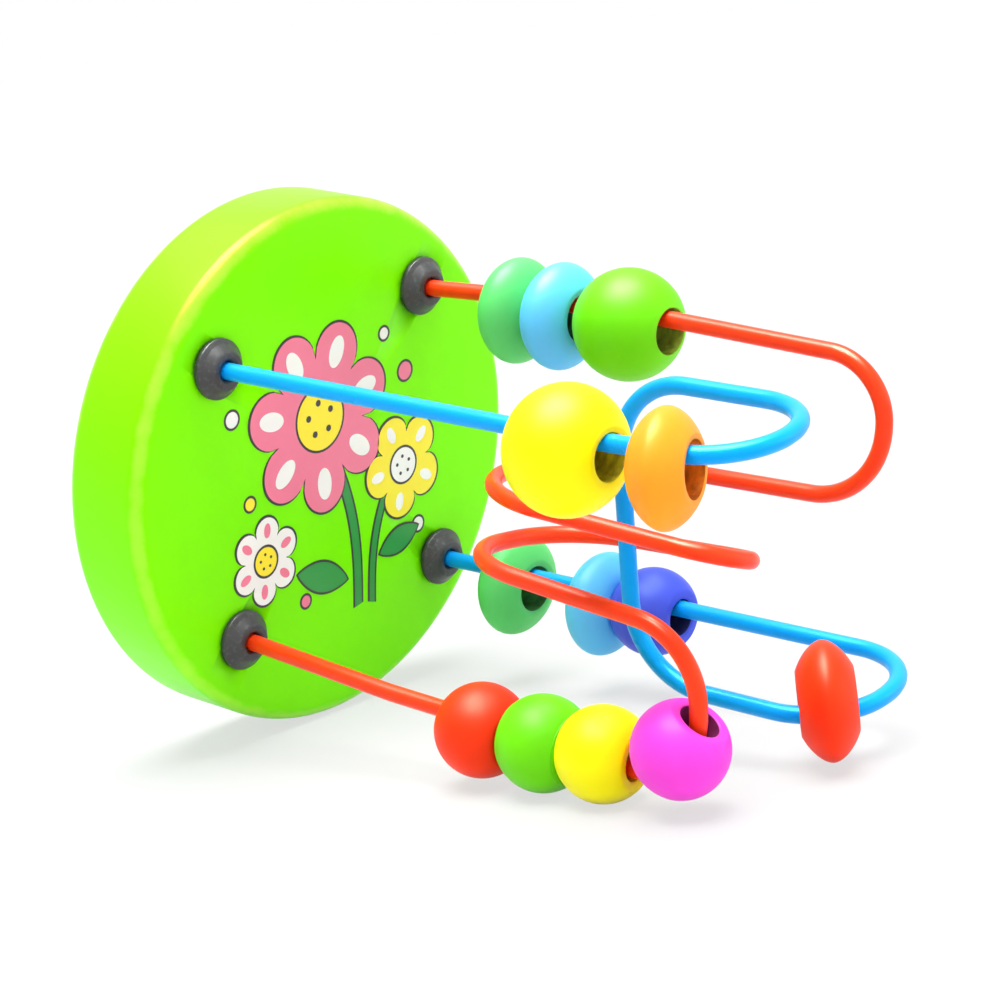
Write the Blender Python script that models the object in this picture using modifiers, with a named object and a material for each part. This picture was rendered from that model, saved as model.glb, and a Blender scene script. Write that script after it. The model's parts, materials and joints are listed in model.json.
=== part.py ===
"""Bead maze: a round painted base, two bent wires and thirteen wooden beads.

Units are metres and +Z is up. The origin is the centre of the base's underside.
Each straight run of wire that carries beads is named after the corner of the base
it stands on: back_left, front_left, back_right and front_right, seen from -Y.
"""
import math

import bpy
from mathutils import Matrix, Vector

# Running gap between neighbouring pieces
GAP = 0.0003

# Base: a turned disc with rounded edges
BASE_DIAMETER = 0.0900
BASE_THICKNESS = 0.0165
BASE_EDGE_RADIUS = 0.0025
BASE_SIDES = 72
BASE_EDGE_STEPS = 3

# Four wire caps near the corners of a square, each in a stepped blind hole
HOLE_PITCH = 0.0492
CAP_DIAMETER = 0.0101
CAP_HEIGHT = 0.0029
CAP_RIM = 0.0008
SHANK_DIAMETER = 0.0062
SHANK_LENGTH = 0.0080
WIRE_SEAT = 0.0045

# Wires: coated steel, bent on a grid of one hole pitch
WIRE_DIAMETER = 0.0028
STRAIGHT_FOOT = 0.0008
WIRE_BEVEL_STEPS = 2
BEND_STEP = math.radians(15.0)

# Heights of the bends above the underside of the base
RED_BACK_TOP = 0.1113
RED_BACK_DIP = 0.0488
RED_MIDDLE_TOP = 0.1019
RED_FRONT_DIP = 0.0624
RED_FRONT_TOP = 0.1110
BLUE_LEFT_TOP = 0.1215
BLUE_BRIDGE = 0.0803
BLUE_RIGHT_TOP = 0.1185

# Heights at which three of the runs change their lean a little
BACK_LEFT_FIRST_LEAN = 0.0310
BACK_LEFT_SECOND_LEAN = 0.0640
FRONT_LEFT_LEAN = 0.0880
FRONT_RIGHT_LEAN = 0.0500

# Bend radii, to the middle of the wire
RED_BACK_NEAR_BEND = 0.0097
RED_BACK_FAR_BEND = 0.0142
RED_BACK_DIP_BEND = 0.0140
RED_CROSSING_BEND = 0.0180
RED_MIDDLE_BEND = 0.0078
RED_FRONT_DIP_BEND = 0.0132
RED_RISING_BEND = 0.0141
RED_FRONT_BEND = 0.0114
BLUE_LEFT_NEAR_BEND = 0.0109
BLUE_LEFT_FAR_BEND = 0.0122
BLUE_LEFT_BRIDGE_BEND = 0.0136
BLUE_RIGHT_BRIDGE_BEND = 0.0130
BLUE_RIGHT_NEAR_BEND = 0.0122
BLUE_RIGHT_FAR_BEND = 0.0130

# Beads: saucers, small balls and two large balls, with a bore for each kind
BORE_CHAMFER = 0.0002
SAUCER_DIAMETER = 0.0183
SAUCER_LENGTH = 0.0085
SAUCER_BORE = 0.0076
SAUCER_HUB = 0.0102
SAUCER_RIM_RADIUS = 0.0027
ORANGE_SAUCER_DIAMETER = 0.0178
RED_SAUCER_DIAMETER = 0.0186
THICK_SAUCER_LENGTH = 0.0087
THICK_SAUCER_BORE = 0.0088
SMALL_BALL_DIAMETER = 0.0150
SMALL_BALL_LENGTH = 0.0117
SMALL_BALL_BORE = 0.0065
GREEN_BALL_DIAMETER = 0.0186
GREEN_BALL_LENGTH = 0.0160
YELLOW_BALL_DIAMETER = 0.0199
YELLOW_BALL_LENGTH = 0.0167
LARGE_BALL_BORE = 0.0076
BALL_FLATNESS = 0.96
BEAD_SIDES = 24
BEAD_STEPS = 8

# Places of the beads on their runs. The back beads stand above the caps, the front
# beads hang below the tops of their wires, and the spaces are between neighbours.
BACK_LEFT_LIFT = 0.0187
BACK_RIGHT_LIFT = 0.0149
YELLOW_BALL_DROP = 0.0325
ORANGE_SAUCER_DROP = 0.0144
FRONT_RIGHT_DROP = 0.0178
GREEN_BALL_SPACE = 0.0020
SKY_SAUCER_SPACE = 0.0109

# Angles of the two beads that sit on a bend, from the top of the run below them
RED_SAUCER_ANGLE = math.radians(41.7)
PINK_BALL_ANGLE = math.radians(53.7)
RED_SAUCER_SHARE = 0.80
PINK_BALL_SHARE = 0.90

# How far those two beads are tipped off the line of their wire
RED_SAUCER_LEAN = (-0.030, -0.055, 0.038)
PINK_BALL_LEAN = (-0.036, 0.156, -0.088)

# Colours, as linear values
GREEN_PAINT = (0.20, 1.00, 0.00, 1.0)
BLACK_PLASTIC = (0.02, 0.02, 0.02, 1.0)
RED_COATING = (0.80, 0.03, 0.01, 1.0)
BLUE_COATING = (0.00, 0.30, 0.95, 1.0)
SOFT_GREEN = (0.10, 0.55, 0.12, 1.0)
SKY_BLUE = (0.15, 0.60, 0.95, 1.0)
LEAF_GREEN = (0.16, 0.65, 0.01, 1.0)
YELLOW = (1.00, 0.85, 0.00, 1.0)
ORANGE = (1.00, 0.38, 0.03, 1.0)
DARK_BLUE = (0.06, 0.08, 0.75, 1.0)
SCARLET = (1.00, 0.05, 0.01, 1.0)
PINK = (0.85, 0.06, 0.75, 1.0)

# Values that follow from the sizes above
HALF_PITCH = HOLE_PITCH / 2.0
CAP_TOP = BASE_THICKNESS + GAP + CAP_HEIGHT
SHANK_HOLE_DIAMETER = SHANK_DIAMETER + 2.0 * GAP
WIRE_BORE_DIAMETER = WIRE_DIAMETER + 2.0 * GAP
SHANK_HOLE_BOTTOM = BASE_THICKNESS - SHANK_LENGTH - GAP
WIRE_HOLE_BOTTOM = SHANK_HOLE_BOTTOM - WIRE_SEAT
WIRE_END = WIRE_HOLE_BOTTOM + GAP
LEAN_START = CAP_TOP + STRAIGHT_FOOT
Z_AXIS = Vector((0.0, 0.0, 1.0))
LYING_SIDE = Vector((1.0, 0.0, 0.0))


def on_grid(column, row, height, lean_x=0.0, lean_y=0.0):
    """A wire corner: a place on the grid of holes, moved by how far the wire leans."""
    return Vector((column * HALF_PITCH + lean_x, row * HALF_PITCH + lean_y, height))


# The holes, drilled a little off the grid: column, row, and how far off in X and Y
HOLES = {
    "back_left": (-1, 1, -0.00025, -0.00020),
    "front_left": (-1, -1, 0.00080, -0.00015),
    "back_right": (1, 1, 0.00075, 0.00005),
    "front_right": (1, -1, -0.00120, -0.00020),
}


def hole(place, height):
    """A point on the axis of one of the holes."""
    column, row, off_x, off_y = HOLES[place]
    return on_grid(column, row, height, off_x, off_y)


# Wire routes: corner points and the radius of the bend at each. The first two and
# the last two points are the straight foot in the base. A radius of nought is a
# change of lean too small to need a bend.
RED_ROUTE = [
    (hole("back_left", WIRE_END), 0.0),
    (hole("back_left", LEAN_START), 0.0),
    (on_grid(-1, 1, BACK_LEFT_FIRST_LEAN, -0.0009, 0.0001), 0.0),
    (on_grid(-1, 1, BACK_LEFT_SECOND_LEAN, -0.0023, 0.0003), 0.0),
    (on_grid(-1, 1, RED_BACK_TOP, -0.0017, 0.0006), RED_BACK_NEAR_BEND),
    (on_grid(0, 1, RED_BACK_TOP - 0.0016, -0.0029, 0.0004), RED_BACK_FAR_BEND),
    (on_grid(0, 1, RED_BACK_DIP, -0.0004, -0.0004), RED_BACK_DIP_BEND),
    (on_grid(0, 0, RED_BACK_DIP + 0.0037, -0.0057, -0.0096), RED_CROSSING_BEND),
    (on_grid(0, 0, RED_MIDDLE_TOP, -0.00395, -0.0081), RED_MIDDLE_BEND),
    (on_grid(0, 0, RED_MIDDLE_TOP, 0.0022, 0.00675), RED_MIDDLE_BEND),
    (on_grid(0, 0, RED_FRONT_DIP, 0.0042, 0.0055), RED_FRONT_DIP_BEND),
    (on_grid(0, -1, RED_FRONT_DIP + 0.0007, -0.0015, 0.0006), RED_RISING_BEND),
    (on_grid(0, -1, RED_FRONT_TOP, 0.00115, 0.0002), RED_FRONT_BEND),
    (on_grid(1, -1, RED_FRONT_TOP, 0.00025, -0.0004), RED_FRONT_BEND),
    (on_grid(1, -1, FRONT_RIGHT_LEAN, 0.0, -0.0005), 0.0),
    (hole("front_right", LEAN_START), 0.0),
    (hole("front_right", WIRE_END), 0.0),
]
BLUE_ROUTE = [
    (hole("front_left", WIRE_END), 0.0),
    (hole("front_left", LEAN_START), 0.0),
    (on_grid(-1, -1, FRONT_LEFT_LEAN, -0.0010, -0.0004), 0.0),
    (on_grid(-1, -1, BLUE_LEFT_TOP, -0.0030, -0.0008), BLUE_LEFT_NEAR_BEND),
    (on_grid(-1, 0, BLUE_LEFT_TOP - 0.0033, -0.0035, -0.00185), BLUE_LEFT_FAR_BEND),
    (on_grid(-1, 0, BLUE_BRIDGE, -0.0023, -0.0020), BLUE_LEFT_BRIDGE_BEND),
    (on_grid(1, 0, BLUE_BRIDGE, -0.00075, -0.00035), BLUE_RIGHT_BRIDGE_BEND),
    (on_grid(1, 0, BLUE_RIGHT_TOP, -0.00175, -0.00015), BLUE_RIGHT_NEAR_BEND),
    (on_grid(1, 1, BLUE_RIGHT_TOP, -0.00265, 0.0010), BLUE_RIGHT_FAR_BEND),
    (hole("back_right", LEAN_START), 0.0),
    (hole("back_right", WIRE_END), 0.0),
]

# Straight runs that carry beads: the route and the two corners at their ends
BACK_LEFT_RUN = (RED_ROUTE, 2, 3)
FRONT_LEFT_RUN = (BLUE_ROUTE, 1, 2)
FRONT_LEFT_TOP_RUN = (BLUE_ROUTE, 2, 3)
BACK_RIGHT_RUN = (BLUE_ROUTE, 9, 8)
FRONT_RIGHT_RUN = (RED_ROUTE, 14, 13)
RED_SAUCER_CORNER = 7
PINK_BALL_CORNER = 13


def clear_scene():
    """Remove the objects that the scene opens with."""
    for obj in list(bpy.data.objects):
        bpy.data.objects.remove(obj, do_unlink=True)


def make_collection(name):
    """Add a collection to the scene."""
    collection = bpy.data.collections.new(name)
    bpy.context.scene.collection.children.link(collection)
    return collection


def make_material(name, colour, roughness, metallic=0.0):
    """A plain Principled material."""
    material = bpy.data.materials.new(name)
    material.use_nodes = True
    shader = material.node_tree.nodes["Principled BSDF"]
    shader.inputs["Base Color"].default_value = colour
    shader.inputs["Roughness"].default_value = roughness
    shader.inputs["Metallic"].default_value = metallic
    material.diffuse_color = colour
    return material


def turned(name, profile, sides, closed, collection):
    """A turned shape: (radius, height) points, spun about Z by a Screw modifier."""
    mesh = bpy.data.meshes.new(name)
    points = [(radius, 0.0, height) for radius, height in profile]
    edges = [(index, index + 1) for index in range(len(points) - 1)]
    if closed:
        edges.append((len(points) - 1, 0))
    mesh.from_pydata(points, edges, [])
    obj = bpy.data.objects.new(name, mesh)
    collection.objects.link(obj)
    screw = obj.modifiers.new("spin", 'SCREW')
    screw.axis = 'Z'
    screw.angle = 2.0 * math.pi
    screw.steps = sides
    screw.render_steps = sides
    screw.use_merge_vertices = True
    screw.merge_threshold = 0.00001
    screw.use_smooth_shade = True
    return obj


def quarter_round(centre_radius, centre_height, radius, start, end, steps):
    """Points on an arc of a turned profile, from one angle to the other."""
    points = []
    for step in range(steps + 1):
        angle = start + (end - start) * step / steps
        points.append((centre_radius + radius * math.cos(angle),
                       centre_height + radius * math.sin(angle)))
    return points


def make_base(collection, cutters, paint):
    """The disc, with its four stepped blind holes cut from the top."""
    radius = BASE_DIAMETER / 2.0
    inner = radius - BASE_EDGE_RADIUS
    top = quarter_round(inner, BASE_THICKNESS - BASE_EDGE_RADIUS, BASE_EDGE_RADIUS,
                        math.pi / 2.0, 0.0, BASE_EDGE_STEPS)
    bottom = quarter_round(inner, BASE_EDGE_RADIUS, BASE_EDGE_RADIUS,
                           0.0, -math.pi / 2.0, BASE_EDGE_STEPS)
    profile = [(0.0, BASE_THICKNESS)] + top + bottom + [(0.0, 0.0)]
    base = turned("base_disc", profile, BASE_SIDES, False, collection)
    base.data.materials.append(paint)
    above = BASE_THICKNESS + BASE_EDGE_RADIUS
    shank_radius = SHANK_HOLE_DIAMETER / 2.0
    wire_radius = WIRE_BORE_DIAMETER / 2.0
    hole_profile = [
        (0.0, above),
        (shank_radius, above),
        (shank_radius, SHANK_HOLE_BOTTOM),
        (wire_radius, SHANK_HOLE_BOTTOM),
        (wire_radius, WIRE_HOLE_BOTTOM),
        (0.0, WIRE_HOLE_BOTTOM),
    ]
    for place in HOLES:
        cutter = turned("hole_" + place, hole_profile, BEAD_SIDES, False, cutters)
        cutter.location = hole(place, 0.0)
        cutter.hide_render = True
        cutter.display_type = 'WIRE'
        cut = base.modifiers.new("cut_" + place, 'BOOLEAN')
        cut.operation = 'DIFFERENCE'
        cut.solver = 'EXACT'
        cut.object = cutter
    return base


def make_cap(place, collection, plastic):
    """A domed cap on a shank, bored through for the wire."""
    bore = WIRE_BORE_DIAMETER / 2.0
    flange = CAP_DIAMETER / 2.0
    shank = SHANK_DIAMETER / 2.0
    seat = BASE_THICKNESS + GAP
    dome = CAP_HEIGHT - CAP_RIM
    profile = [(bore, seat + CAP_HEIGHT)]
    steps = 5
    for step in range(1, steps + 1):
        share = step / steps
        reach = bore + (flange - bore) * math.sin(share * math.pi / 2.0)
        profile.append((reach, seat + CAP_RIM + dome * math.cos(share * math.pi / 2.0)))
    profile += [
        (flange, seat),
        (shank, seat),
        (shank, BASE_THICKNESS - SHANK_LENGTH),
        (bore, BASE_THICKNESS - SHANK_LENGTH),
    ]
    cap = turned("wire_cap_" + place, profile, BEAD_SIDES, True, collection)
    cap.location = hole(place, 0.0)
    cap.data.materials.append(plastic)
    return cap


def bend_at(route, index):
    """A bend: its centre, the arm to where it starts, its axis and its angle."""
    corner, radius = route[index]
    back = (route[index - 1][0] - corner).normalized()
    ahead = (route[index + 1][0] - corner).normalized()
    turn = math.pi - back.angle(ahead)
    reach = radius * math.tan(turn / 2.0)
    centre = corner + (back + ahead).normalized() * (radius / math.cos(turn / 2.0))
    arm = corner + back * reach - centre
    return centre, arm, arm.cross(-back).normalized(), turn


def rounded_route(route):
    """Points along a wire: straight runs, with an arc at each corner that has a radius."""
    points = [route[0][0]]
    for index in range(1, len(route) - 1):
        corner, radius = route[index]
        if radius <= 0.0:
            points.append(corner)
            continue
        centre, arm, axis, turn = bend_at(route, index)
        steps = max(2, round(turn / BEND_STEP))
        for step in range(steps + 1):
            place = centre + Matrix.Rotation(turn * step / steps, 3, axis) @ arm
            if (place - points[-1]).length > GAP:
                points.append(place)
    points.append(route[-1][0])
    return points


def make_wire(name, route, collection, coating):
    """A bent wire: one poly spline with a round section and closed ends."""
    points = rounded_route(route)
    curve = bpy.data.curves.new(name, 'CURVE')
    curve.dimensions = '3D'
    curve.bevel_depth = WIRE_DIAMETER / 2.0
    curve.bevel_resolution = WIRE_BEVEL_STEPS
    curve.use_fill_caps = True
    spline = curve.splines.new('POLY')
    spline.points.add(len(points) - 1)
    for target, point in zip(spline.points, points):
        target.co = (point.x, point.y, point.z, 1.0)
    spline.use_smooth = True
    wire = bpy.data.objects.new(name, curve)
    collection.objects.link(wire)
    curve.materials.append(coating)
    return wire


def bored(outside, length, bore_diameter):
    """Close a bead's outer profile, top to bottom, with its chamfered bore."""
    bore = bore_diameter / 2.0
    half = length / 2.0
    mouth = bore + BORE_CHAMFER
    return [(mouth, half)] + outside + [(mouth, -half), (bore, BORE_CHAMFER - half),
                                        (bore, half - BORE_CHAMFER)]


def ball_profile(diameter, length, bore_diameter):
    """A slightly flattened ball with its poles turned off flat."""
    radius = diameter / 2.0
    height = radius * BALL_FLATNESS
    limit = math.asin(min(0.999, length / 2.0 / height))
    outside = []
    for step in range(BEAD_STEPS + 1):
        angle = limit * (1.0 - 2.0 * step / BEAD_STEPS)
        outside.append((radius * math.cos(angle), height * math.sin(angle)))
    return bored(outside, length, bore_diameter)


def saucer_profile(diameter, length, bore_diameter):
    """A saucer: flat hubs round the bore, straight flanks and a rounded rim."""
    half = length / 2.0
    hub = SAUCER_HUB / 2.0
    middle = diameter / 2.0 - SAUCER_RIM_RADIUS
    across = math.hypot(middle - hub, half)
    flank = math.atan2(half, middle - hub) - math.asin(SAUCER_RIM_RADIUS / across)
    limit = math.pi / 2.0 - flank
    outside = [(hub, half)]
    outside += quarter_round(middle, 0.0, SAUCER_RIM_RADIUS, limit, -limit, BEAD_STEPS)
    outside.append((hub, -half))
    return bored(outside, length, bore_diameter)


def make_bead(name, profile, centre, axis, collection, paint):
    """A bead with its origin at its middle and its bore along the wire."""
    bead = turned(name, profile, BEAD_SIDES, True, collection)
    bead.location = centre
    bead.rotation_mode = 'QUATERNION'
    bead.rotation_quaternion = Z_AXIS.rotation_difference(axis)
    bead.data.materials.append(paint)
    return bead


def run_line(run):
    """A straight run of wire: its lower point and its upward direction."""
    route, low, high = run
    start = route[low][0]
    axis = (route[high][0] - start).normalized()
    return start, axis


def hang(bore_diameter):
    """How far a bead can move to the side before its bore is a gap from the wire."""
    return (bore_diameter - WIRE_DIAMETER) / 2.0 - GAP


def put_bead(run, name, kind, height, share, lean, paint, collection):
    """A bead on a run, at a height, moved to one side of its bore and leaned."""
    start, axis = run_line(run)
    shape, diameter, length, bore_diameter = kind
    across = (LYING_SIDE - axis * LYING_SIDE.dot(axis)).normalized()
    centre = start + axis * ((height - start.z) / axis.z)
    centre += across * (hang(bore_diameter) * share)
    profile = shape(diameter, length, bore_diameter)
    make_bead(name, profile, centre, axis + Vector(lean), collection, paint)


def stack_beads(run, height, step, beads, collection):
    """Thread beads on a run one after another, upwards (1) or downwards (-1).

    Each bead is (name, kind, space before it, share, lean, paint). The share says
    how far it is moved to the side: 1 is down as the toy lies, -1 is pushed up.
    """
    rise = run_line(run)[1].z
    previous = None
    for name, kind, space, share, lean, paint in beads:
        length = kind[2]
        if previous is not None:
            height += step * rise * ((previous + length) / 2.0 + space)
        put_bead(run, name, kind, height, share, lean, paint, collection)
        previous = length


def main():
    """Build every piece of the toy."""
    clear_scene()
    parts = make_collection("bead_maze")
    cutters = make_collection("bead_maze_cutters")

    base_paint = make_material("green_base_paint", GREEN_PAINT, 0.35)
    plastic = make_material("black_cap_plastic", BLACK_PLASTIC, 0.45)
    red_coating = make_material("red_wire_coating", RED_COATING, 0.25)
    blue_coating = make_material("blue_wire_coating", BLUE_COATING, 0.25)
    soft_green = make_material("soft_green_paint", SOFT_GREEN, 0.4)
    sky_blue = make_material("sky_blue_paint", SKY_BLUE, 0.4)
    leaf_green = make_material("leaf_green_paint", LEAF_GREEN, 0.35)
    yellow = make_material("yellow_paint", YELLOW, 0.35)
    orange = make_material("orange_paint", ORANGE, 0.35)
    dark_blue = make_material("dark_blue_paint", DARK_BLUE, 0.4)
    scarlet = make_material("scarlet_paint", SCARLET, 0.35)
    pink = make_material("pink_paint", PINK, 0.35)

    make_base(parts, cutters, base_paint)
    for place in HOLES:
        make_cap(place, parts, plastic)
    make_wire("red_wire", RED_ROUTE, parts, red_coating)
    make_wire("blue_wire", BLUE_ROUTE, parts, blue_coating)

    saucer = (saucer_profile, SAUCER_DIAMETER, SAUCER_LENGTH, SAUCER_BORE)
    thick = (saucer_profile, ORANGE_SAUCER_DIAMETER, THICK_SAUCER_LENGTH, THICK_SAUCER_BORE)
    small = (ball_profile, SMALL_BALL_DIAMETER, SMALL_BALL_LENGTH, SMALL_BALL_BORE)
    large = (ball_profile, GREEN_BALL_DIAMETER, GREEN_BALL_LENGTH, LARGE_BALL_BORE)
    yellow_ball = (ball_profile, YELLOW_BALL_DIAMETER, YELLOW_BALL_LENGTH, LARGE_BALL_BORE)
    level = (0.0, 0.0, 0.0)

    stack_beads(BACK_LEFT_RUN, CAP_TOP + BACK_LEFT_LIFT, 1, [
        ("back_left_green_saucer", saucer, 0.0, 1.0, level, soft_green),
        ("back_left_sky_saucer", saucer, GAP, 1.0, level, sky_blue),
        ("back_left_green_ball", large, GREEN_BALL_SPACE, 1.0, (0.03, 0.0, 0.0), leaf_green),
    ], parts)
    put_bead(FRONT_LEFT_RUN, "front_left_yellow_ball", yellow_ball,
             BLUE_LEFT_TOP - YELLOW_BALL_DROP, 1.0, (-0.02, 0.0, 0.0), yellow, parts)
    put_bead(FRONT_LEFT_TOP_RUN, "front_left_orange_saucer", thick,
             BLUE_LEFT_TOP - ORANGE_SAUCER_DROP, 0.84, (0.0, 0.28, 0.0), orange, parts)
    stack_beads(BACK_RIGHT_RUN, CAP_TOP + BACK_RIGHT_LIFT, 1, [
        ("back_right_green_saucer", saucer, 0.0, 0.96, (0.03, 0.0, 0.0), soft_green),
        ("back_right_sky_saucer", saucer, SKY_SAUCER_SPACE, 1.0, level, sky_blue),
        ("back_right_dark_blue_ball", small, GAP, 1.0, level, dark_blue),
    ], parts)
    stack_beads(FRONT_RIGHT_RUN, RED_FRONT_TOP - FRONT_RIGHT_DROP, -1, [
        ("front_right_yellow_ball", small, 0.0, -0.55, (0.0, 0.12, 0.0), yellow),
        ("front_right_green_ball", small, GAP, 0.28, (0.0, 0.06, 0.0), leaf_green),
        ("front_right_red_ball", small, GAP, 0.98, level, scarlet),
    ], parts)

    centre, arm, axis, turn = bend_at(BLUE_ROUTE, RED_SAUCER_CORNER)
    arm = Matrix.Rotation(RED_SAUCER_ANGLE, 3, axis) @ arm
    aside = LYING_SIDE * (hang(THICK_SAUCER_BORE) * RED_SAUCER_SHARE)
    make_bead("right_red_saucer",
              saucer_profile(RED_SAUCER_DIAMETER, THICK_SAUCER_LENGTH, THICK_SAUCER_BORE),
              centre + arm - aside, axis.cross(arm).normalized() + Vector(RED_SAUCER_LEAN),
              parts, scarlet)
    centre, arm, axis, turn = bend_at(RED_ROUTE, PINK_BALL_CORNER)
    arm = Matrix.Rotation(turn - PINK_BALL_ANGLE, 3, axis) @ arm
    inward = hang(SMALL_BALL_BORE) * PINK_BALL_SHARE
    make_bead("front_right_pink_ball",
              ball_profile(SMALL_BALL_DIAMETER, SMALL_BALL_LENGTH, SMALL_BALL_BORE),
              centre + arm * (1.0 - inward / arm.length),
              arm.cross(axis).normalized() + Vector(PINK_BALL_LEAN), parts, pink)


main()
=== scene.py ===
"""The looks of a bead maze that lies on its side on a white table.

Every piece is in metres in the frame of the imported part: +Z runs up the wires and the
origin is the centre of the base's underside. The finely made pieces stand for the
part's plain solids. A few beads stand a fraction of a millimetre from theirs.
"""
import json
import logging
import math
from dataclasses import dataclass, field
from enum import Enum
from functools import partial
from typing import Callable, Dict, List, Sequence, Tuple

import bmesh
import bpy
from mathutils import Matrix, Vector


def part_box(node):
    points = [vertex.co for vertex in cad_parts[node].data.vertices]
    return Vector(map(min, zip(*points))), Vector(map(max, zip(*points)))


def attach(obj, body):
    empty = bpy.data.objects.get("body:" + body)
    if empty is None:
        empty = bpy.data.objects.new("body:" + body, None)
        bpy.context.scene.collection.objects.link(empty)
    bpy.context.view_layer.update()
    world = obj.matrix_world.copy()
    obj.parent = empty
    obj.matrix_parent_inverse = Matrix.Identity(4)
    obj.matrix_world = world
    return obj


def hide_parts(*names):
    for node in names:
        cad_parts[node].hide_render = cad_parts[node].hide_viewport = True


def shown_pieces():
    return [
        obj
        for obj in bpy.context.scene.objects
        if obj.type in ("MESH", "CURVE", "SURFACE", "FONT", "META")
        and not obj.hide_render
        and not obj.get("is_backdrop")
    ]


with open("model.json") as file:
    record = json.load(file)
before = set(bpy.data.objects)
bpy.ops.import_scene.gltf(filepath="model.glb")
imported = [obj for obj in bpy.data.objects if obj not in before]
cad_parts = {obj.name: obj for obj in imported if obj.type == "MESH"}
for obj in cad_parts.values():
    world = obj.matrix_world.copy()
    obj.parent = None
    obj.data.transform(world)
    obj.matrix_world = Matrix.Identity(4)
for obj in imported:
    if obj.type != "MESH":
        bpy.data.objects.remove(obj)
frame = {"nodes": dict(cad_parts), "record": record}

LOG = logging.getLogger("bead_maze")
MM = 0.001
FULL_TURN = 2.0 * math.pi
Z_AXIS = Vector((0.0, 0.0, 1.0))
MERGE_DISTANCE = 0.001 * MM
WHITE = (1.0, 1.0, 1.0)
Colour = Tuple[float, float, float]
Profile = List[Tuple[float, float]]
Outline = List[Tuple[float, float]]
Corner = Tuple[Vector, float]


def rgba(colour: Colour) -> Tuple[float, float, float, float]:
    """Add full opacity to a colour."""
    return (colour[0], colour[1], colour[2], 1.0)


def node_centre(node: str) -> Vector:
    """Middle of a node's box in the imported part."""
    low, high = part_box(node)
    return (low + high) / 2.0


def around(centre: Tuple[float, float], reach: float, angle: float) -> Tuple[float, float]:
    """A place at a distance and an angle from a centre."""
    return (centre[0] + reach * math.cos(angle), centre[1] + reach * math.sin(angle))


class NodeWriter:
    """Places shader nodes in a tree and links them, from left to right."""

    COLUMN_WIDTH = 200.0
    MIX_SHARE, MIX_FIRST, MIX_SECOND, MIX_RESULT = 0, 6, 7, 2

    def __init__(self, tree: bpy.types.NodeTree) -> None:
        """Keep the tree and start at its left side."""
        self.tree = tree
        self.column = 0

    def add(self, kind: str, **settings: object) -> bpy.types.Node:
        """Add one node.

        Args:
            kind: The node's type name, without its ShaderNode prefix.
            settings: Properties of the node.

        Returns:
            The new node.
        """
        node = self.tree.nodes.new("ShaderNode" + kind)
        for name, value in settings.items():
            setattr(node, name, value)
        self.column += 1
        node.location = (self.COLUMN_WIDTH * self.column, 0.0)
        return node

    def link(self, source: bpy.types.NodeSocket, target: bpy.types.NodeSocket) -> None:
        """Join an output to an input."""
        self.tree.links.new(source, target)

    def feed(self, target: bpy.types.NodeSocket, value: object) -> None:
        """Give an input its value.

        Args:
            target: The input.
            value: An output to link, a colour or a number.
        """
        if isinstance(value, bpy.types.NodeSocket):
            self.link(value, target)
        elif isinstance(value, tuple):
            target.default_value = rgba(value)
        else:
            target.default_value = value

    def object_place(self) -> bpy.types.NodeSocket:
        """Object coordinates, which are the part's own frame."""
        return self.add("TexCoord").outputs["Object"]

    def noise(self, place: bpy.types.NodeSocket, scale: object, detail: float,
              roughness: float = 0.5) -> bpy.types.NodeSocket:
        """Fractal noise at a place.

        Args:
            place: The coordinates.
            scale: Waves in a metre, as a number or an output.
            detail: How many finer waves are added.
            roughness: How strong the finer waves are.

        Returns:
            The noise, from 0 to 1.
        """
        node = self.add("TexNoise")
        self.feed(node.inputs["Scale"], scale)
        node.inputs["Detail"].default_value = detail
        node.inputs["Roughness"].default_value = roughness
        self.link(place, node.inputs["Vector"])
        return node.outputs["Fac"]

    def ramp(self, value: bpy.types.NodeSocket, low: float,
             high: float) -> bpy.types.NodeSocket:
        """Rise smoothly from 0 to 1 while a value goes from low to high.

        Args:
            value: The value.
            low: Where the rise starts.
            high: Where it ends.

        Returns:
            The result, from 0 to 1.
        """
        node = self.add("MapRange", interpolation_type='SMOOTHSTEP')
        node.inputs["From Min"].default_value = low
        node.inputs["From Max"].default_value = high
        self.link(value, node.inputs["Value"])
        return node.outputs["Result"]

    def maths(self, operation: str, first: object, second: object) -> bpy.types.NodeSocket:
        """Reckon with two values.

        Args:
            operation: The Math node's operation.
            first: An output or a number.
            second: An output or a number.

        Returns:
            The result.
        """
        node = self.add("Math", operation=operation)
        for target, value in zip(node.inputs, (first, second)):
            self.feed(target, value)
        return node.outputs["Value"]

    def scaled(self, value: object, amount: object) -> bpy.types.NodeSocket:
        """A value times an amount."""
        return self.maths('MULTIPLY', value, amount)

    def spread(self, start: object, value: object, amount: float) -> bpy.types.NodeSocket:
        """A start, and a value times an amount added to it."""
        return self.maths('ADD', self.scaled(value, amount), start)

    def mix(self, share: object, first: object, second: object) -> bpy.types.NodeSocket:
        """Mix two colours.

        Args:
            share: How much of the second colour there is, as an output or a number.
            first: An output or a colour.
            second: An output or a colour.

        Returns:
            The mixed colour.
        """
        node = self.add("Mix", data_type='RGBA')
        self.feed(node.inputs[self.MIX_SHARE], share)
        self.feed(node.inputs[self.MIX_FIRST], first)
        self.feed(node.inputs[self.MIX_SECOND], second)
        return node.outputs[self.MIX_RESULT]

    def bump(self, shader: bpy.types.Node, height: bpy.types.NodeSocket, strength: float,
             distance: float) -> None:
        """Give a shader a fine relief.

        Args:
            shader: The Principled shader.
            height: The relief, from 0 to 1.
            strength: How strongly it shows.
            distance: How high it stands.
        """
        node = self.add("Bump")
        node.inputs["Strength"].default_value = strength
        node.inputs["Distance"].default_value = distance
        self.link(height, node.inputs["Height"])
        self.link(node.outputs["Normal"], shader.inputs["Normal"])


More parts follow.
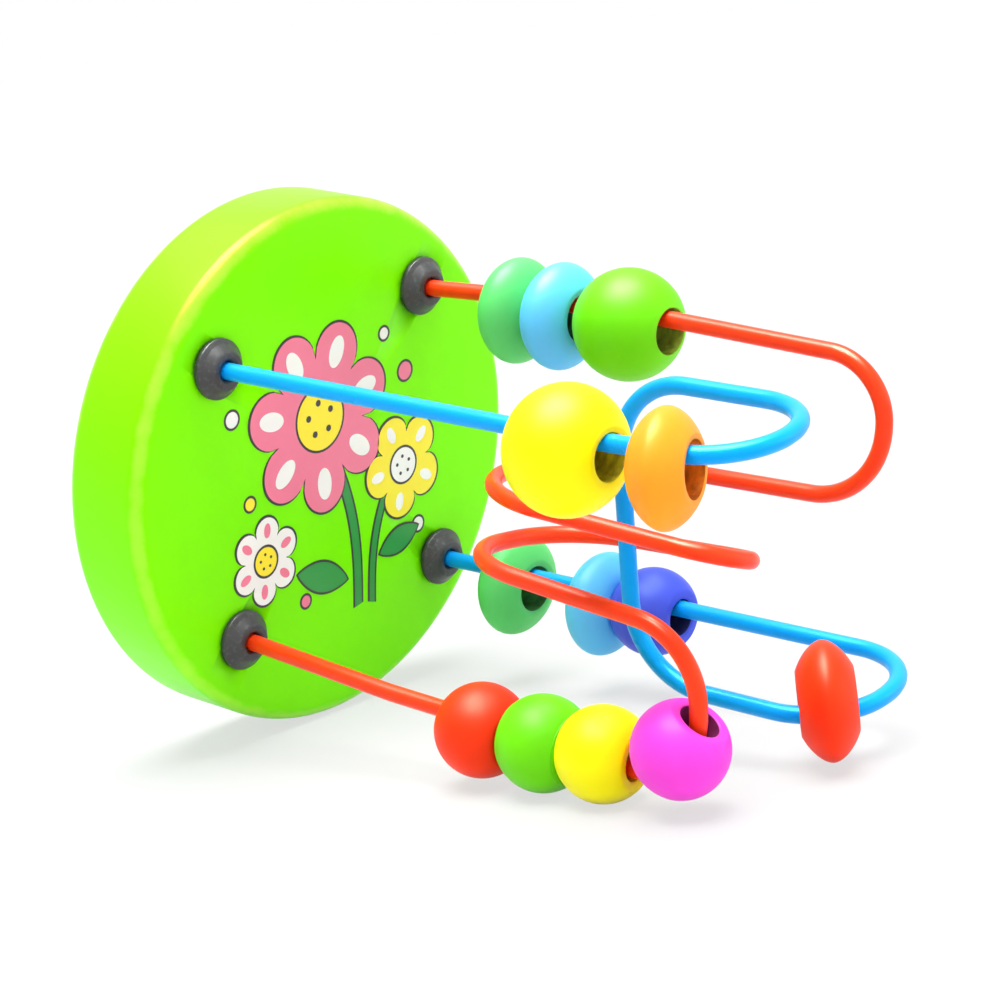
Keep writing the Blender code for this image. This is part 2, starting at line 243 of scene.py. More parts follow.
def new_group(name: str, inputs: Dict[str, float],
              outputs: Sequence[str]) -> Tuple[NodeWriter, bpy.types.Node, bpy.types.Node]:
    """Start a shader node group whose sockets are all plain values.

    Args:
        name: The group's name.
        inputs: Names and default values of its inputs.
        outputs: Names of its outputs.

    Returns:
        The writer of its tree, and its input and output nodes.
    """
    tree = bpy.data.node_groups.new(name, 'ShaderNodeTree')
    for title, value in inputs.items():
        socket = tree.interface.new_socket(name=title, in_out='INPUT',
                                           socket_type='NodeSocketFloat')
        socket.default_value = value
    for title in outputs:
        tree.interface.new_socket(name=title, in_out='OUTPUT',
                                  socket_type='NodeSocketFloat')
    start = tree.nodes.new("NodeGroupInput")
    end = tree.nodes.new("NodeGroupOutput")
    return NodeWriter(tree), start, end


class SurfaceEffects:
    """Shader node groups that several finishes share, each built once."""

    CLOUD_SCALE = 45.0
    CLOUD_RANGE = (0.3, 0.7)
    GRAIN_RANGE = (0.32, 0.68)
    RUBBED_RANGE = (0.70, 1.30)
    SPECK_RANGE = (0.5, 0.72)

    def __init__(self) -> None:
        """Build every group."""
        self.brushed_paint = self._brushed_paint()
        self.wood_under_paint = self._wood_under_paint()
        self.rubbed_edges = self._rubbed_edges()
        self.fine_speckle = self._fine_speckle()

    def _brushed_paint(self) -> bpy.types.NodeTree:
        """Soft waves of dipped or sprayed paint, and the fine pits of its skin.

        Returns:
            The group's tree.
        """
        write, start, end = new_group(
            "paint_skin", {"Wave Scale": 120.0, "Pit Scale": 1400.0, "Pits": 0.25},
            ("Height", "Cloud"))
        place = write.object_place()
        waves = write.noise(place, start.outputs["Wave Scale"], 2.0)
        pits = write.noise(place, start.outputs["Pit Scale"], 2.0)
        fine = write.scaled(pits, start.outputs["Pits"])
        write.link(write.maths('ADD', waves, fine), end.inputs["Height"])
        cloud = write.noise(place, self.CLOUD_SCALE, 4.0, 0.6)
        write.link(write.ramp(cloud, *self.CLOUD_RANGE), end.inputs["Cloud"])
        return write.tree

    def _wood_under_paint(self) -> bpy.types.NodeTree:
        """Long fibres of the wood, which telegraph faintly through the paint.

        Returns:
            The group's tree.
        """
        write, start, end = new_group(
            "wood_under_paint", {"Scale": 260.0, "Stretch": 0.09}, ("Grain",))
        place = write.object_place()
        mapping = write.add("Mapping")
        write.link(place, mapping.inputs["Vector"])
        stretch = write.add("CombineXYZ")
        stretch.inputs["Y"].default_value = 1.0
        stretch.inputs["Z"].default_value = 1.0
        write.link(start.outputs["Stretch"], stretch.inputs["X"])
        write.link(stretch.outputs["Vector"], mapping.inputs["Scale"])
        fibres = write.noise(mapping.outputs["Vector"], start.outputs["Scale"], 5.0, 0.62)
        write.link(write.ramp(fibres, *self.GRAIN_RANGE), end.inputs["Grain"])
        return write.tree

    def _rubbed_edges(self) -> bpy.types.NodeTree:
        """Where handling has rubbed the lips and rims, from the mesh's own edge value. On the
        base the same mask also places a painted highlight.

        Returns:
            The group's tree.
        """
        write, start, end = new_group(
            "rubbed_edges", {"Amount": 0.5, "Scale": 500.0}, ("Rubbed", "Inside"))
        edge = write.add("Attribute", attribute_name="edge")
        inside = write.add("Attribute", attribute_name="inside")
        ragged = write.noise(write.object_place(), start.outputs["Scale"], 4.0, 0.65)
        near = write.scaled(edge.outputs["Fac"], start.outputs["Amount"])
        worn = write.maths('ADD', near, ragged)
        write.link(write.ramp(worn, *self.RUBBED_RANGE), end.inputs["Rubbed"])
        write.link(inside.outputs["Fac"], end.inputs["Inside"])
        return write.tree

    def _fine_speckle(self) -> bpy.types.NodeTree:
        """Pale grey specks and soft mottling of satin moulded plastic.

        Returns:
            The group's tree.
        """
        write, start, end = new_group(
            "fine_speckle", {"Scale": 900.0, "Amount": 0.6}, ("Specks", "Height"))
        grains = write.noise(write.object_place(), start.outputs["Scale"], 3.0, 0.7)
        specks = write.ramp(grains, *self.SPECK_RANGE)
        write.link(write.scaled(specks, start.outputs["Amount"]), end.inputs["Specks"])
        write.link(grains, end.inputs["Height"])
        return write.tree


def place_group(write: NodeWriter, tree: bpy.types.NodeTree,
                **values: float) -> bpy.types.Node:
    """Put a group in a material with its own values.

    Args:
        write: The writer of the material's tree.
        tree: The group.
        values: Input names, with underscores for spaces, and their values.

    Returns:
        The group's node.
    """
    node = write.add("Group", node_tree=tree)
    for name, value in values.items():
        node.inputs[name.replace("_", " ")].default_value = value
    return node


def start_material(name: str) -> Tuple[bpy.types.Material, NodeWriter, bpy.types.Node]:
    """Start a material.

    Args:
        name: The material's name.

    Returns:
        The material, the writer of its tree and its Principled shader.
    """
    material = bpy.data.materials.new(name)
    material.use_nodes = True
    shader = material.node_tree.nodes["Principled BSDF"]
    return material, NodeWriter(material.node_tree), shader


@dataclass(frozen=True)
class PaintCoat:
    """How paint lies on turned wood: the scales and the shares of its effects."""

    wave_scale: float
    pits: float
    grain_scale: float
    stretch: float
    rub_amount_and_highlight: float
    wear_scale: float
    cloudiness: float
    grain_tint: float
    grain_relief: float
    relief: float
    relief_height: float
    specular: float

    def lay(self, write: NodeWriter, shader: bpy.types.Node, effects: SurfaceEffects,
            colours: Tuple[Colour, Colour, Colour]) -> Tuple[
                bpy.types.Node, bpy.types.Node, bpy.types.Node, bpy.types.NodeSocket]:
        """Start a painted surface with its clouds, its grain, its gloss and its relief.

        Args:
            write: The writer of the material's tree.
            shader: The material's Principled shader.
            effects: The shared effects.
            colours: The paint's colour, its deeper tone and the tint of its shine.

        Returns:
            The nodes of the paint's skin, the wood and the rubbed edges, and the colour.
        """
        colour, deep, shine = colours
        skin = place_group(write, effects.brushed_paint, Wave_Scale=self.wave_scale,
                           Pits=self.pits)
        wood = place_group(write, effects.wood_under_paint, Scale=self.grain_scale,
                           Stretch=self.stretch)
        rubbed = place_group(write, effects.rubbed_edges, Amount=self.rub_amount_and_highlight,
                             Scale=self.wear_scale)
        clouds = write.scaled(skin.outputs["Cloud"], self.cloudiness)
        fibres = write.scaled(wood.outputs["Grain"], self.grain_tint)
        base = write.mix(fibres, write.mix(clouds, colour, deep), deep)
        shader.inputs["Specular Tint"].default_value = rgba(shine)
        shader.inputs["Specular IOR Level"].default_value = self.specular
        height = write.spread(skin.outputs["Height"], wood.outputs["Grain"],
                              self.grain_relief)
        write.bump(shader, height, self.relief, self.relief_height)
        return skin, wood, rubbed, base


BEAD_COAT = PaintCoat(wave_scale=160.0, pits=0.22, grain_scale=420.0, stretch=0.12,
                      rub_amount_and_highlight=0.50, wear_scale=420.0, cloudiness=0.55, grain_tint=0.16,
                      grain_relief=0.35, relief=0.16, relief_height=0.15 * MM,
                      specular=0.28)
# On the base, the rubbed edge carries a painted highlight as well as wear.
BASE_COAT = PaintCoat(wave_scale=70.0, pits=0.16, grain_scale=210.0, stretch=0.07,
                      rub_amount_and_highlight=0.85, wear_scale=260.0, cloudiness=0.30, grain_tint=0.10,
                      grain_relief=0.3, relief=0.12, relief_height=0.2 * MM,
                      specular=0.30)


@dataclass(frozen=True)
class BeadPaint:
    """Satin enamel on a turned wooden bead, thinner and rubbed at the lips of the bore."""

    name: str
    colour: Colour
    deep: Colour
    bore: Colour
    shine: Colour
    slot: str
    roughness: float = 0.41
    dulling: float = 0.10
    bore_dulling: float = 0.35
    bore_shade: float = 0.45
    thinning_and_highlight: float = 0.22

    def material(self, effects: SurfaceEffects) -> bpy.types.Material:
        """Build the paint.

        Args:
            effects: The shared effects.

        Returns:
            The material.
        """
        material, write, shader = start_material(self.name)
        skin, wood, rubbed, base = BEAD_COAT.lay(
            write, shader, effects, (self.colour, self.deep, self.shine))
        worn_and_highlit = write.scaled(rubbed.outputs["Rubbed"], self.thinning_and_highlight)
        base = write.mix(worn_and_highlit, base, self.bore)
        shaded = tuple(self.bore_shade * part for part in self.bore)
        wall = write.mix(wood.outputs["Grain"], self.bore, shaded)
        inside = rubbed.outputs["Inside"]
        write.link(write.mix(inside, base, wall), shader.inputs["Base Color"])
        dull = write.spread(self.roughness, skin.outputs["Cloud"], self.dulling)
        write.link(write.spread(dull, inside, self.bore_dulling),
                   shader.inputs["Roughness"])
        return material


@dataclass(frozen=True)
class BasePaint:
    """Bright gloss paint over the turned face and side of the base, with a pale ring round its
    rounded edge that is partly worn paint and partly a painted highlight.
    """

    name: str = "lime_base_paint"
    colour: Colour = (0.215, 0.975, 0.000)
    deep: Colour = (0.165, 0.860, 0.000)
    # Pale ring on the rounded edge: worn paint and a painted highlight.
    pale_wear_and_highlight: Colour = (0.640, 1.000, 0.120)
    side: Colour = (0.210, 0.985, 0.000)
    shine: Colour = (1.000, 1.000, 0.080)
    slot: str = "base_green"
    roughness: float = 0.28
    dulling: float = 0.10
    # How strongly the pale ring of wear and painted highlight shows.
    thinning_and_highlight: float = 0.36

    def material(self, effects: SurfaceEffects) -> bpy.types.Material:
        """Build the paint.

        Args:
            effects: The shared effects.

        Returns:
            The material.
        """
        material, write, shader = start_material(self.name)
        skin, _, rubbed, base = BASE_COAT.lay(
            write, shader, effects, (self.colour, self.deep, self.shine))
        base = write.mix(rubbed.outputs["Inside"], base, self.side)
        # Paler where the edge is rubbed: worn paint, and a painted highlight along the rounded
        # edge.
        worn_and_highlit = write.scaled(rubbed.outputs["Rubbed"], self.thinning_and_highlight)
        write.link(write.mix(worn_and_highlit, base, self.pale_wear_and_highlight), shader.inputs["Base Color"])
        write.link(write.spread(self.roughness, skin.outputs["Cloud"], self.dulling),
                   shader.inputs["Roughness"])
        return material


@dataclass(frozen=True)
class WireCoating:
    """Dipped plastic coating on bent wire: glossy and slightly uneven."""

    name: str
    colour: Colour
    deep: Colour
    shine: Colour
    slot: str
    wave_scale: float = 260.0
    pits: float = 0.3
    cloudiness: float = 0.5
    roughness: float = 0.26
    dulling: float = 0.14
    specular: float = 0.6
    relief: float = 0.06
    relief_height: float = 0.1 * MM

    def material(self, effects: SurfaceEffects) -> bpy.types.Material:
        """Build the coating.

        Args:
            effects: The shared effects.

        Returns:
            The material.
        """
        material, write, shader = start_material(self.name)
        skin = place_group(write, effects.brushed_paint, Wave_Scale=self.wave_scale,
                           Pits=self.pits)
        clouds = write.scaled(skin.outputs["Cloud"], self.cloudiness)
        write.link(write.mix(clouds, self.colour, self.deep), shader.inputs["Base Color"])
        write.link(write.spread(self.roughness, skin.outputs["Cloud"], self.dulling),
                   shader.inputs["Roughness"])
        shader.inputs["Specular Tint"].default_value = rgba(self.shine)
        shader.inputs["Specular IOR Level"].default_value = self.specular
        write.bump(shader, skin.outputs["Height"], self.relief, self.relief_height)
        return material


@dataclass(frozen=True)
class CapPlastic:
    """Satin black moulded plastic with pale specks."""

    name: str = "black_cap_plastic"
    colour: Colour = (0.036, 0.036, 0.038)
    speck: Colour = (0.110, 0.112, 0.112)
    slot: str = "cap_black"
    speck_scale: float = 1300.0
    speck_amount: float = 0.5
    roughness: float = 0.38
    dulling: float = 0.2
    relief: float = 0.22
    relief_height: float = 0.1 * MM

    def material(self, effects: SurfaceEffects) -> bpy.types.Material:
        """Build the plastic.

        Args:
            effects: The shared effects.

        Returns:
            The material.
        """
        material, write, shader = start_material(self.name)
        grains = place_group(write, effects.fine_speckle, Scale=self.speck_scale,
                             Amount=self.speck_amount)
        specks = grains.outputs["Specks"]
        write.link(write.mix(specks, self.colour, self.speck), shader.inputs["Base Color"])
        write.link(write.spread(self.roughness, specks, self.dulling),
                   shader.inputs["Roughness"])
        write.bump(shader, grains.outputs["Height"], self.relief, self.relief_height)
        return material


@dataclass(frozen=True)
class PrintInk:
    """One colour of the ink printed on the base: nearly flat, uneven where it soaked in."""

    name: str
    colour: Colour
    wave_scale: float = 300.0
    pits: float = 0.5
    paling: float = 1.12
    lift: float = 0.02
    cloudiness: float = 0.5
    roughness: float = 0.30
    dulling: float = 0.1
    relief: float = 0.08
    relief_height: float = 0.1 * MM

    def material(self, effects: SurfaceEffects) -> bpy.types.Material:
        """Build the ink.

        Args:
            effects: The shared effects.

        Returns:
            The material.
        """
        material, write, shader = start_material(self.name)
        skin = place_group(write, effects.brushed_paint, Wave_Scale=self.wave_scale,
                           Pits=self.pits)
        paler = tuple(min(1.0, part * self.paling + self.lift) for part in self.colour)
        clouds = write.scaled(skin.outputs["Cloud"], self.cloudiness)
        write.link(write.mix(clouds, self.colour, paler), shader.inputs["Base Color"])
        write.link(write.spread(self.roughness, skin.outputs["Height"], self.dulling),
                   shader.inputs["Roughness"])
        write.bump(shader, skin.outputs["Height"], self.relief, self.relief_height)
        return material


def arc(centre: Tuple[float, float], radius: float, start: float, end: float,
        steps: int) -> Profile:
    """Points of a turned profile on an arc.

    Args:
        centre: The arc's centre as (radius, height).
        radius: The arc's own radius.
        start: First angle in degrees, from straight outwards.
        end: Last angle in degrees.
        steps: Number of straight pieces.

    Returns:
        The points, ends included.
    """
    return [around(centre, radius, math.radians(start + (end - start) * step / steps))
            for step in range(steps + 1)]


def rounded_corners(corners: Sequence[Tuple[float, float, float]], steps: int) -> Profile:
    """A closed profile whose corners are rounded.

    Args:
        corners: The corners as (radius, height, rounding).
        steps: Number of straight pieces of each rounding.

    Returns:
        The profile's points.
    """
    nearly_straight = 0.01
    points: Profile = []
    count = len(corners)
    for index in range(count):
        here = Vector(corners[index][:2])
        back = (Vector(corners[index - 1][:2]) - here).normalized()
        ahead = (Vector(corners[(index + 1) % count][:2]) - here).normalized()
        rounding = corners[index][2]
        turn = math.pi - back.angle(ahead)
        if rounding <= 0.0 or turn < nearly_straight:
            points.append((here.x, here.y))
            continue
        reach = rounding * math.tan(turn / 2.0)
        centre = here + (back + ahead).normalized() * (rounding / math.cos(turn / 2.0))
        first = here + back * reach - centre
        sense = 1.0 if first.x * -back.y + first.y * back.x > 0.0 else -1.0
        for step in range(steps + 1):
            arm = Matrix.Rotation(sense * turn * step / steps, 2) @ first
            points.append((centre.x + arm.x, centre.y + arm.y))
    return points


def turned(profile: Profile, closed: bool, sides: int) -> bmesh.types.BMesh:
    """Spin a profile of (radius, height) points about Z into a closed shape.

    Args:
        profile: The points, in order.
        closed: Whether the last point joins the first, as round a bore.
        sides: Number of steps round the axis.

    Returns:
        A bmesh with its normals outwards.
    """
    shape = bmesh.new()
    points = [shape.verts.new((radius, 0.0, height)) for radius, height in profile]
    edges = [shape.edges.new(pair) for pair in zip(points, points[1:])]
    if closed:
        edges.append(shape.edges.new((points[-1], points[0])))
    bmesh.ops.spin(shape, geom=points + edges, cent=(0.0, 0.0, 0.0), axis=(0.0, 0.0, 1.0),
                   dvec=(0.0, 0.0, 0.0), angle=FULL_TURN, steps=sides,
                   use_merge=True, use_duplicate=False)
    bmesh.ops.remove_doubles(shape, verts=shape.verts, dist=MERGE_DISTANCE)
    bmesh.ops.recalc_face_normals(shape, faces=shape.faces)
    return shape


def paint_values(shape: bmesh.types.BMesh,
                 values: Callable[[float, float], Tuple[float, float]]) -> None:
    """Store how near each vertex is to a handled edge, and whether it is inside a bore.

    Args:
        shape: A turned shape that still stands on its own axis.
        values: Gives (edge, inside) for a vertex's radius and height.
    """
    edge = shape.verts.layers.float.new("edge")
    inside = shape.verts.layers.float.new("inside")
    for vert in shape.verts:
        near, within = values(math.hypot(vert.co.x, vert.co.y), vert.co.z)
        vert[edge] = near
        vert[inside] = within


def finished(shape: bmesh.types.BMesh, name: str, place: Matrix,
             materials: Sequence[bpy.types.Material]) -> bpy.types.Object:
    """Turn a bmesh into a smooth piece whose place is in its mesh.

    Args:
        shape: The bmesh, which is freed.
        name: The piece's name.
        place: Where the shape goes in the part's frame.
        materials: Its materials.

    Returns:
        The new object, at the origin.
    """
    bmesh.ops.transform(shape, matrix=place, verts=shape.verts)
    for face in shape.faces:
        face.smooth = True
    mesh = bpy.data.meshes.new(name)
    shape.to_mesh(mesh)
    shape.free()
    for material in materials:
        mesh.materials.append(material)
    piece = bpy.data.objects.new(name, mesh)
    bpy.context.scene.collection.objects.link(piece)
    return piece


def stand_for(piece: bpy.types.Object, node: str, body: str, slot: str) -> None:
    """Let a piece stand for a node of the part.

    Args:
        piece: The piece.
        node: The node that it replaces.
        body: The body that it rides on.
        slot: A material slot; not used.
    """
    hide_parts(node)
    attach(piece, body)
    LOG.info("%s stands for node %s on body %s", piece.name, node, body)


@dataclass
class BaseDisc:
    """The turned disc, with its stepped wire holes."""

    paint: BasePaint
    edge_radius: float = 2.5 * MM
    edge_steps: int = 12
    sides: int = 192
    face_rings: Tuple[float, ...] = (0.0, 0.4, 0.8)
    hole_radius: float = 3.4 * MM
    hole_depth: float = 8.3 * MM
    wire_hole_radius: float = 1.7 * MM
    wire_hole_depth: float = 12.8 * MM
    cut_above: float = 1.0 * MM
    hole_sides: int = 48
    # How far the rounded edge counts as rubbed, which places the pale ring of wear and painted
    # highlight.
    edge_wear_and_highlight: float = 1.6
    hole_places: List[Vector] = field(default_factory=list)

    def profile(self, radius: float, height: float) -> Profile:
        """Half of the disc's section, from the axis at the top to the axis below.

        Args:
            radius: Radius of the disc.
            height: Thickness of the disc.

        Returns:
            The points.
        """
        inner = radius - self.edge_radius
        face = [(inner * share, height) for share in self.face_rings]
        top = arc((inner, height - self.edge_radius), self.edge_radius, 90.0, 0.0,
                  self.edge_steps)
        under = arc((inner, self.edge_radius), self.edge_radius, 0.0, -90.0,
                    self.edge_steps)
        below = [(inner * share, 0.0) for share in self.face_rings[::-1]]
        return face + top + under + below

    def cut_holes(self, disc: bpy.types.Object, height: float) -> None:
        """Cut the stepped holes and keep the result as the disc's mesh.

        Args:
            disc: The disc.
            height: Its thickness.
        """
        above = height + self.cut_above
        step = height - self.hole_depth
        bottom = height - self.wire_hole_depth
        section = [(0.0, above), (self.hole_radius, above), (self.hole_radius, step),
                   (self.wire_hole_radius, step), (self.wire_hole_radius, bottom),
                   (0.0, bottom)]
        cutters = []
        for index, spot in enumerate(self.hole_places):
            cutter = finished(turned(section, False, self.hole_sides), f"cutter_{index}",
                              Matrix.Translation((spot.x, spot.y, 0.0)), [])
            cut = disc.modifiers.new(f"hole_{index}", 'BOOLEAN')
            cut.operation = 'DIFFERENCE'
            cut.solver = 'EXACT'
            cut.object = cutter
            cutters.append(cutter)
        graph = bpy.context.evaluated_depsgraph_get()
        cut_mesh = bpy.data.meshes.new_from_object(disc.evaluated_get(graph))
        disc.modifiers.clear()
        disc.data = cut_mesh
        for cutter in cutters:
            bpy.data.objects.remove(cutter, do_unlink=True)

    def build(self, effects: SurfaceEffects) -> bpy.types.Object:
        """Turn, drill and paint the disc in the place of its node.

        Args:
            effects: The shared effects.

        Returns:
            The disc.
        """
        low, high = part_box("base_disc")
        radius = (high.x - low.x) / 2.0
        height = high.z
        shape = turned(self.profile(radius, height), False, self.sides)

        def values(distance: float, level: float) -> Tuple[float, float]:
            """The rounded edges are the handled ones and carry a pale ring of wear and painted
            highlight, and the side has its own tint.
            """
            over = max(0.0, distance - (radius - self.edge_radius)) / self.edge_radius
            side = min(level, height - level) / self.edge_radius
            return (max(0.0, min(1.0, over) * (1.0 - min(1.0, side))) * self.edge_wear_and_highlight,
                    min(1.0, over) * min(1.0, max(0.0, side)))

        paint_values(shape, values)
        disc = finished(shape, "turned_base", Matrix.Identity(4),
                        [self.paint.material(effects)])
        self.cut_holes(disc, height)
        stand_for(disc, "base_disc", "frame", self.paint.slot)
        return disc


@dataclass
class WireCap:
    """A domed ring that closes the hole round the foot of a wire."""

    node: str
    plastic: bpy.types.Material
    slot: str
    seat_gap: float = 0.3 * MM
    bore_radius: float = 1.65 * MM
    lip_width: float = 0.6 * MM
    lip_drop: float = 0.35 * MM
    crown_width: float = 1.5 * MM
    crown_drop: float = 0.1 * MM
    shoulder_width: float = 0.7 * MM
    shoulder_rise: float = 0.45 * MM
    flange_radius: float = 5.05 * MM
    rim: float = 0.9 * MM
    rim_drop: float = 0.1 * MM
    shank_radius: float = 3.1 * MM
    sides: int = 64
    rounding_steps: int = 5

    def section(self, dome: float, foot: float) -> Sequence[Tuple[float, float, float]]:
        """The ring's section, from the top of its bore outwards and down.

        Args:
            dome: Height of the dome over the seat.
            foot: Height of the shank's end, under the seat.

        Returns:
            Corners as (radius, height, rounding).
        """
        return [
            (self.bore_radius, dome - self.lip_drop, 0.0),
            (self.bore_radius + self.lip_width, dome, 0.5 * MM),
            (self.bore_radius + self.crown_width, dome - self.crown_drop, 0.8 * MM),
            (self.flange_radius - self.shoulder_width, self.rim + self.shoulder_rise,
             1.0 * MM),
            (self.flange_radius, self.rim - self.rim_drop, 0.35 * MM),
            (self.flange_radius, 0.0, 0.1 * MM),
            (self.shank_radius, 0.0, 0.1 * MM),
            (self.shank_radius, foot, 0.3 * MM),
            (self.bore_radius, foot, 0.0),
        ]

    def build(self) -> bpy.types.Object:
        """Turn the cap in the place of its node.

        Returns:
            The cap.
        """
        low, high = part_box(self.node)
        centre = node_centre(self.node)
        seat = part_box("base_disc")[1].z + self.seat_gap
        profile = rounded_corners(self.section(high.z - seat, low.z - seat),
                                  self.rounding_steps)
        cap = finished(turned(profile, True, self.sides), "moulded_" + self.node,
                       Matrix.Translation((centre.x, centre.y, seat)), [self.plastic])
        stand_for(cap, self.node, "frame", self.slot)
        return cap


class BeadForm(Enum):
    """The shapes that the beads are turned to."""

    BALL = "ball"
    SAUCER = "saucer"


@dataclass(frozen=True)
class BeadSize:
    """Sizes of one kind of turned bead."""

    form: BeadForm
    diameter: float
    length: float
    bore: float
    lip: float = 0.35 * MM
    flatness: float = 1.0
    hub: float = 5.0 * MM
    fullness: float = 1.9
    pole_rounding: float = 0.9 * MM
    pole_share: float = 0.9
    pole_gap: float = 2.5
    rounding_steps: int = 8
    skin_steps: int = 24
    ball_steps: int = 44

    def outline(self) -> Profile:
        """The closed section of the bead, from its bore outwards and back.

        Returns:
            The points.
        """
        half = self.length / 2.0
        bore = self.bore / 2.0
        if self.form is BeadForm.SAUCER:
            pole, skin = self.hub, self.oval_skin()
        else:
            pole, skin = self.round_skin()
        rounding = min(self.pole_rounding, self.pole_share * (pole - bore))
        return rounded_corners([
            (bore, half, self.lip),
            (pole, half, rounding),
            *[(across, level, 0.0) for across, level in skin],
            (pole, -half, rounding),
            (bore, -half, self.lip),
        ], self.rounding_steps)

    def oval_skin(self) -> Profile:
        """Skin of a saucer: a flat oval that runs out to the hubs.

        Returns:
            The points between the hubs.
        """
        radius = self.diameter / 2.0
        power = 2.0 / self.fullness
        share = (self.hub / radius) ** self.fullness
        height = self.length / 2.0 / (1.0 - share) ** (1.0 / self.fullness)
        limit = math.acos((self.hub / radius) ** (1.0 / power))
        points = []
        for step in range(1, 2 * self.skin_steps):
            angle = limit * (1.0 - step / self.skin_steps)
            level = math.copysign(abs(math.sin(angle)) ** power, angle)
            points.append((radius * math.cos(angle) ** power, height * level))
        return points

    def round_skin(self) -> Tuple[float, Profile]:
        """Skin of a ball with flat poles.

        Returns:
            Radius of the flat poles, and the points between them.
        """
        radius = self.diameter / 2.0
        limit = math.degrees(math.asin(self.length / 2.0 / (radius * self.flatness)))
        skin = [(across, level * self.flatness)
                for across, level in arc((0.0, 0.0), radius, limit - self.pole_gap,
                                         self.pole_gap - limit, self.ball_steps)]
        return radius * math.cos(math.radians(limit)), skin


@dataclass
class Bead:
    """A turned and painted bead, drilled through with softened lips.

    Its shift is how far it stands from its node's place, in millimetres.
    """

    node: str
    size: BeadSize
    paint: BeadPaint
    axis: Vector
    shift: Tuple[float, float, float] = (0.0, 0.0, 0.0)
    sides: int = 96
    worn_width: float = 0.9 * MM
    worn_ends: float = 0.4
    wall_share: float = 0.15

    def build(self, material: bpy.types.Material) -> bpy.types.Object:
        """Turn the bead in the place of its node, with its bore along its axis.

        Args:
            material: Its paint.

        Returns:
            The bead.
        """
        shape = turned(self.size.outline(), True, self.sides)
        half = self.size.length / 2.0
        bore = self.size.bore / 2.0
        mouth = bore + self.size.lip

        def values(distance: float, level: float) -> Tuple[float, float]:
            """Lips are rubbed, and the wall of the bore is bare and dark."""
            near = 1.0 - min(1.0, abs(distance - mouth) / self.worn_width)
            within = 1.0 if distance < bore + self.wall_share * self.size.lip else 0.0
            return (near if abs(level) > self.worn_ends * half else 0.0, within)

        paint_values(shape, values)
        turn = Z_AXIS.rotation_difference(self.axis).to_matrix().to_4x4()
        centre = node_centre(self.node) + Vector(self.shift) * MM
        place = Matrix.Translation(centre) @ turn
        bead = finished(shape, "turned_" + self.node, place, [material])
        stand_for(bead, self.node, "bead_" + self.node, self.paint.slot)
        return bead


@dataclass
class BentWire:
    """A coated wire along a route of corners, each with its own bend radius."""

    node: str
    coating: WireCoating
    route: List[Corner]
    diameter: float = 2.8 * MM
    bevel_resolution: int = 6
    bend_step: float = math.radians(3.0)
    fewest_steps: int = 4
    least_piece: float = 0.05 * MM

    def points(self) -> List[Vector]:
        """Points along the middle of the wire.

        Returns:
            The points, from end to end.
        """
        points = [self.route[0][0]]
        for index in range(1, len(self.route) - 1):
            corner, radius = self.route[index]
            if radius <= 0.0:
                points.append(corner)
                continue
            back = (self.route[index - 1][0] - corner).normalized()
            ahead = (self.route[index + 1][0] - corner).normalized()
            turn = math.pi - back.angle(ahead)
            centre = corner + (back + ahead).normalized() * (radius / math.cos(turn / 2.0))
            arm = corner + back * (radius * math.tan(turn / 2.0)) - centre
            axis = arm.cross(-back)
            steps = max(self.fewest_steps, round(turn / self.bend_step))
            for step in range(steps + 1):
                place = centre + Matrix.Rotation(turn * step / steps, 3, axis) @ arm
                if (place - points[-1]).length > self.least_piece:
                    points.append(place)
        points.append(self.route[-1][0])
        return points

    def swept(self) -> bpy.types.Mesh:
        """The round section swept along the route.

        Returns:
            The mesh, with its end caps still loose.
        """
        points = self.points()
        curve = bpy.data.curves.new(self.node + "_path", 'CURVE')
        curve.dimensions = '3D'
        curve.bevel_depth = self.diameter / 2.0
        curve.bevel_resolution = self.bevel_resolution
        curve.use_fill_caps = True
        spline = curve.splines.new('POLY')
        spline.points.add(len(points) - 1)
        for target, point in zip(spline.points, points):
            target.co = (point.x, point.y, point.z, 1.0)
        spline.use_smooth = True
        path = bpy.data.objects.new(self.node + "_path", curve)
        bpy.context.scene.collection.objects.link(path)
        graph = bpy.context.evaluated_depsgraph_get()
        mesh = bpy.data.meshes.new_from_object(path.evaluated_get(graph))
        bpy.data.objects.remove(path, do_unlink=True)
        return mesh

    def build(self, effects: SurfaceEffects) -> bpy.types.Object:
        """Bend and coat the wire in the place of its node.

        Args:
            effects: The shared effects.

        Returns:
            The wire.
        """
        mesh = self.swept()
        shape = bmesh.new()
        shape.from_mesh(mesh)
        bpy.data.meshes.remove(mesh)
        bmesh.ops.remove_doubles(shape, verts=shape.verts, dist=MERGE_DISTANCE)
        bmesh.ops.recalc_face_normals(shape, faces=shape.faces)
        wire = finished(shape, "coated_" + self.node, Matrix.Identity(4),
                        [self.coating.material(effects)])
        stand_for(wire, self.node, "frame", self.coating.slot)
        return wire


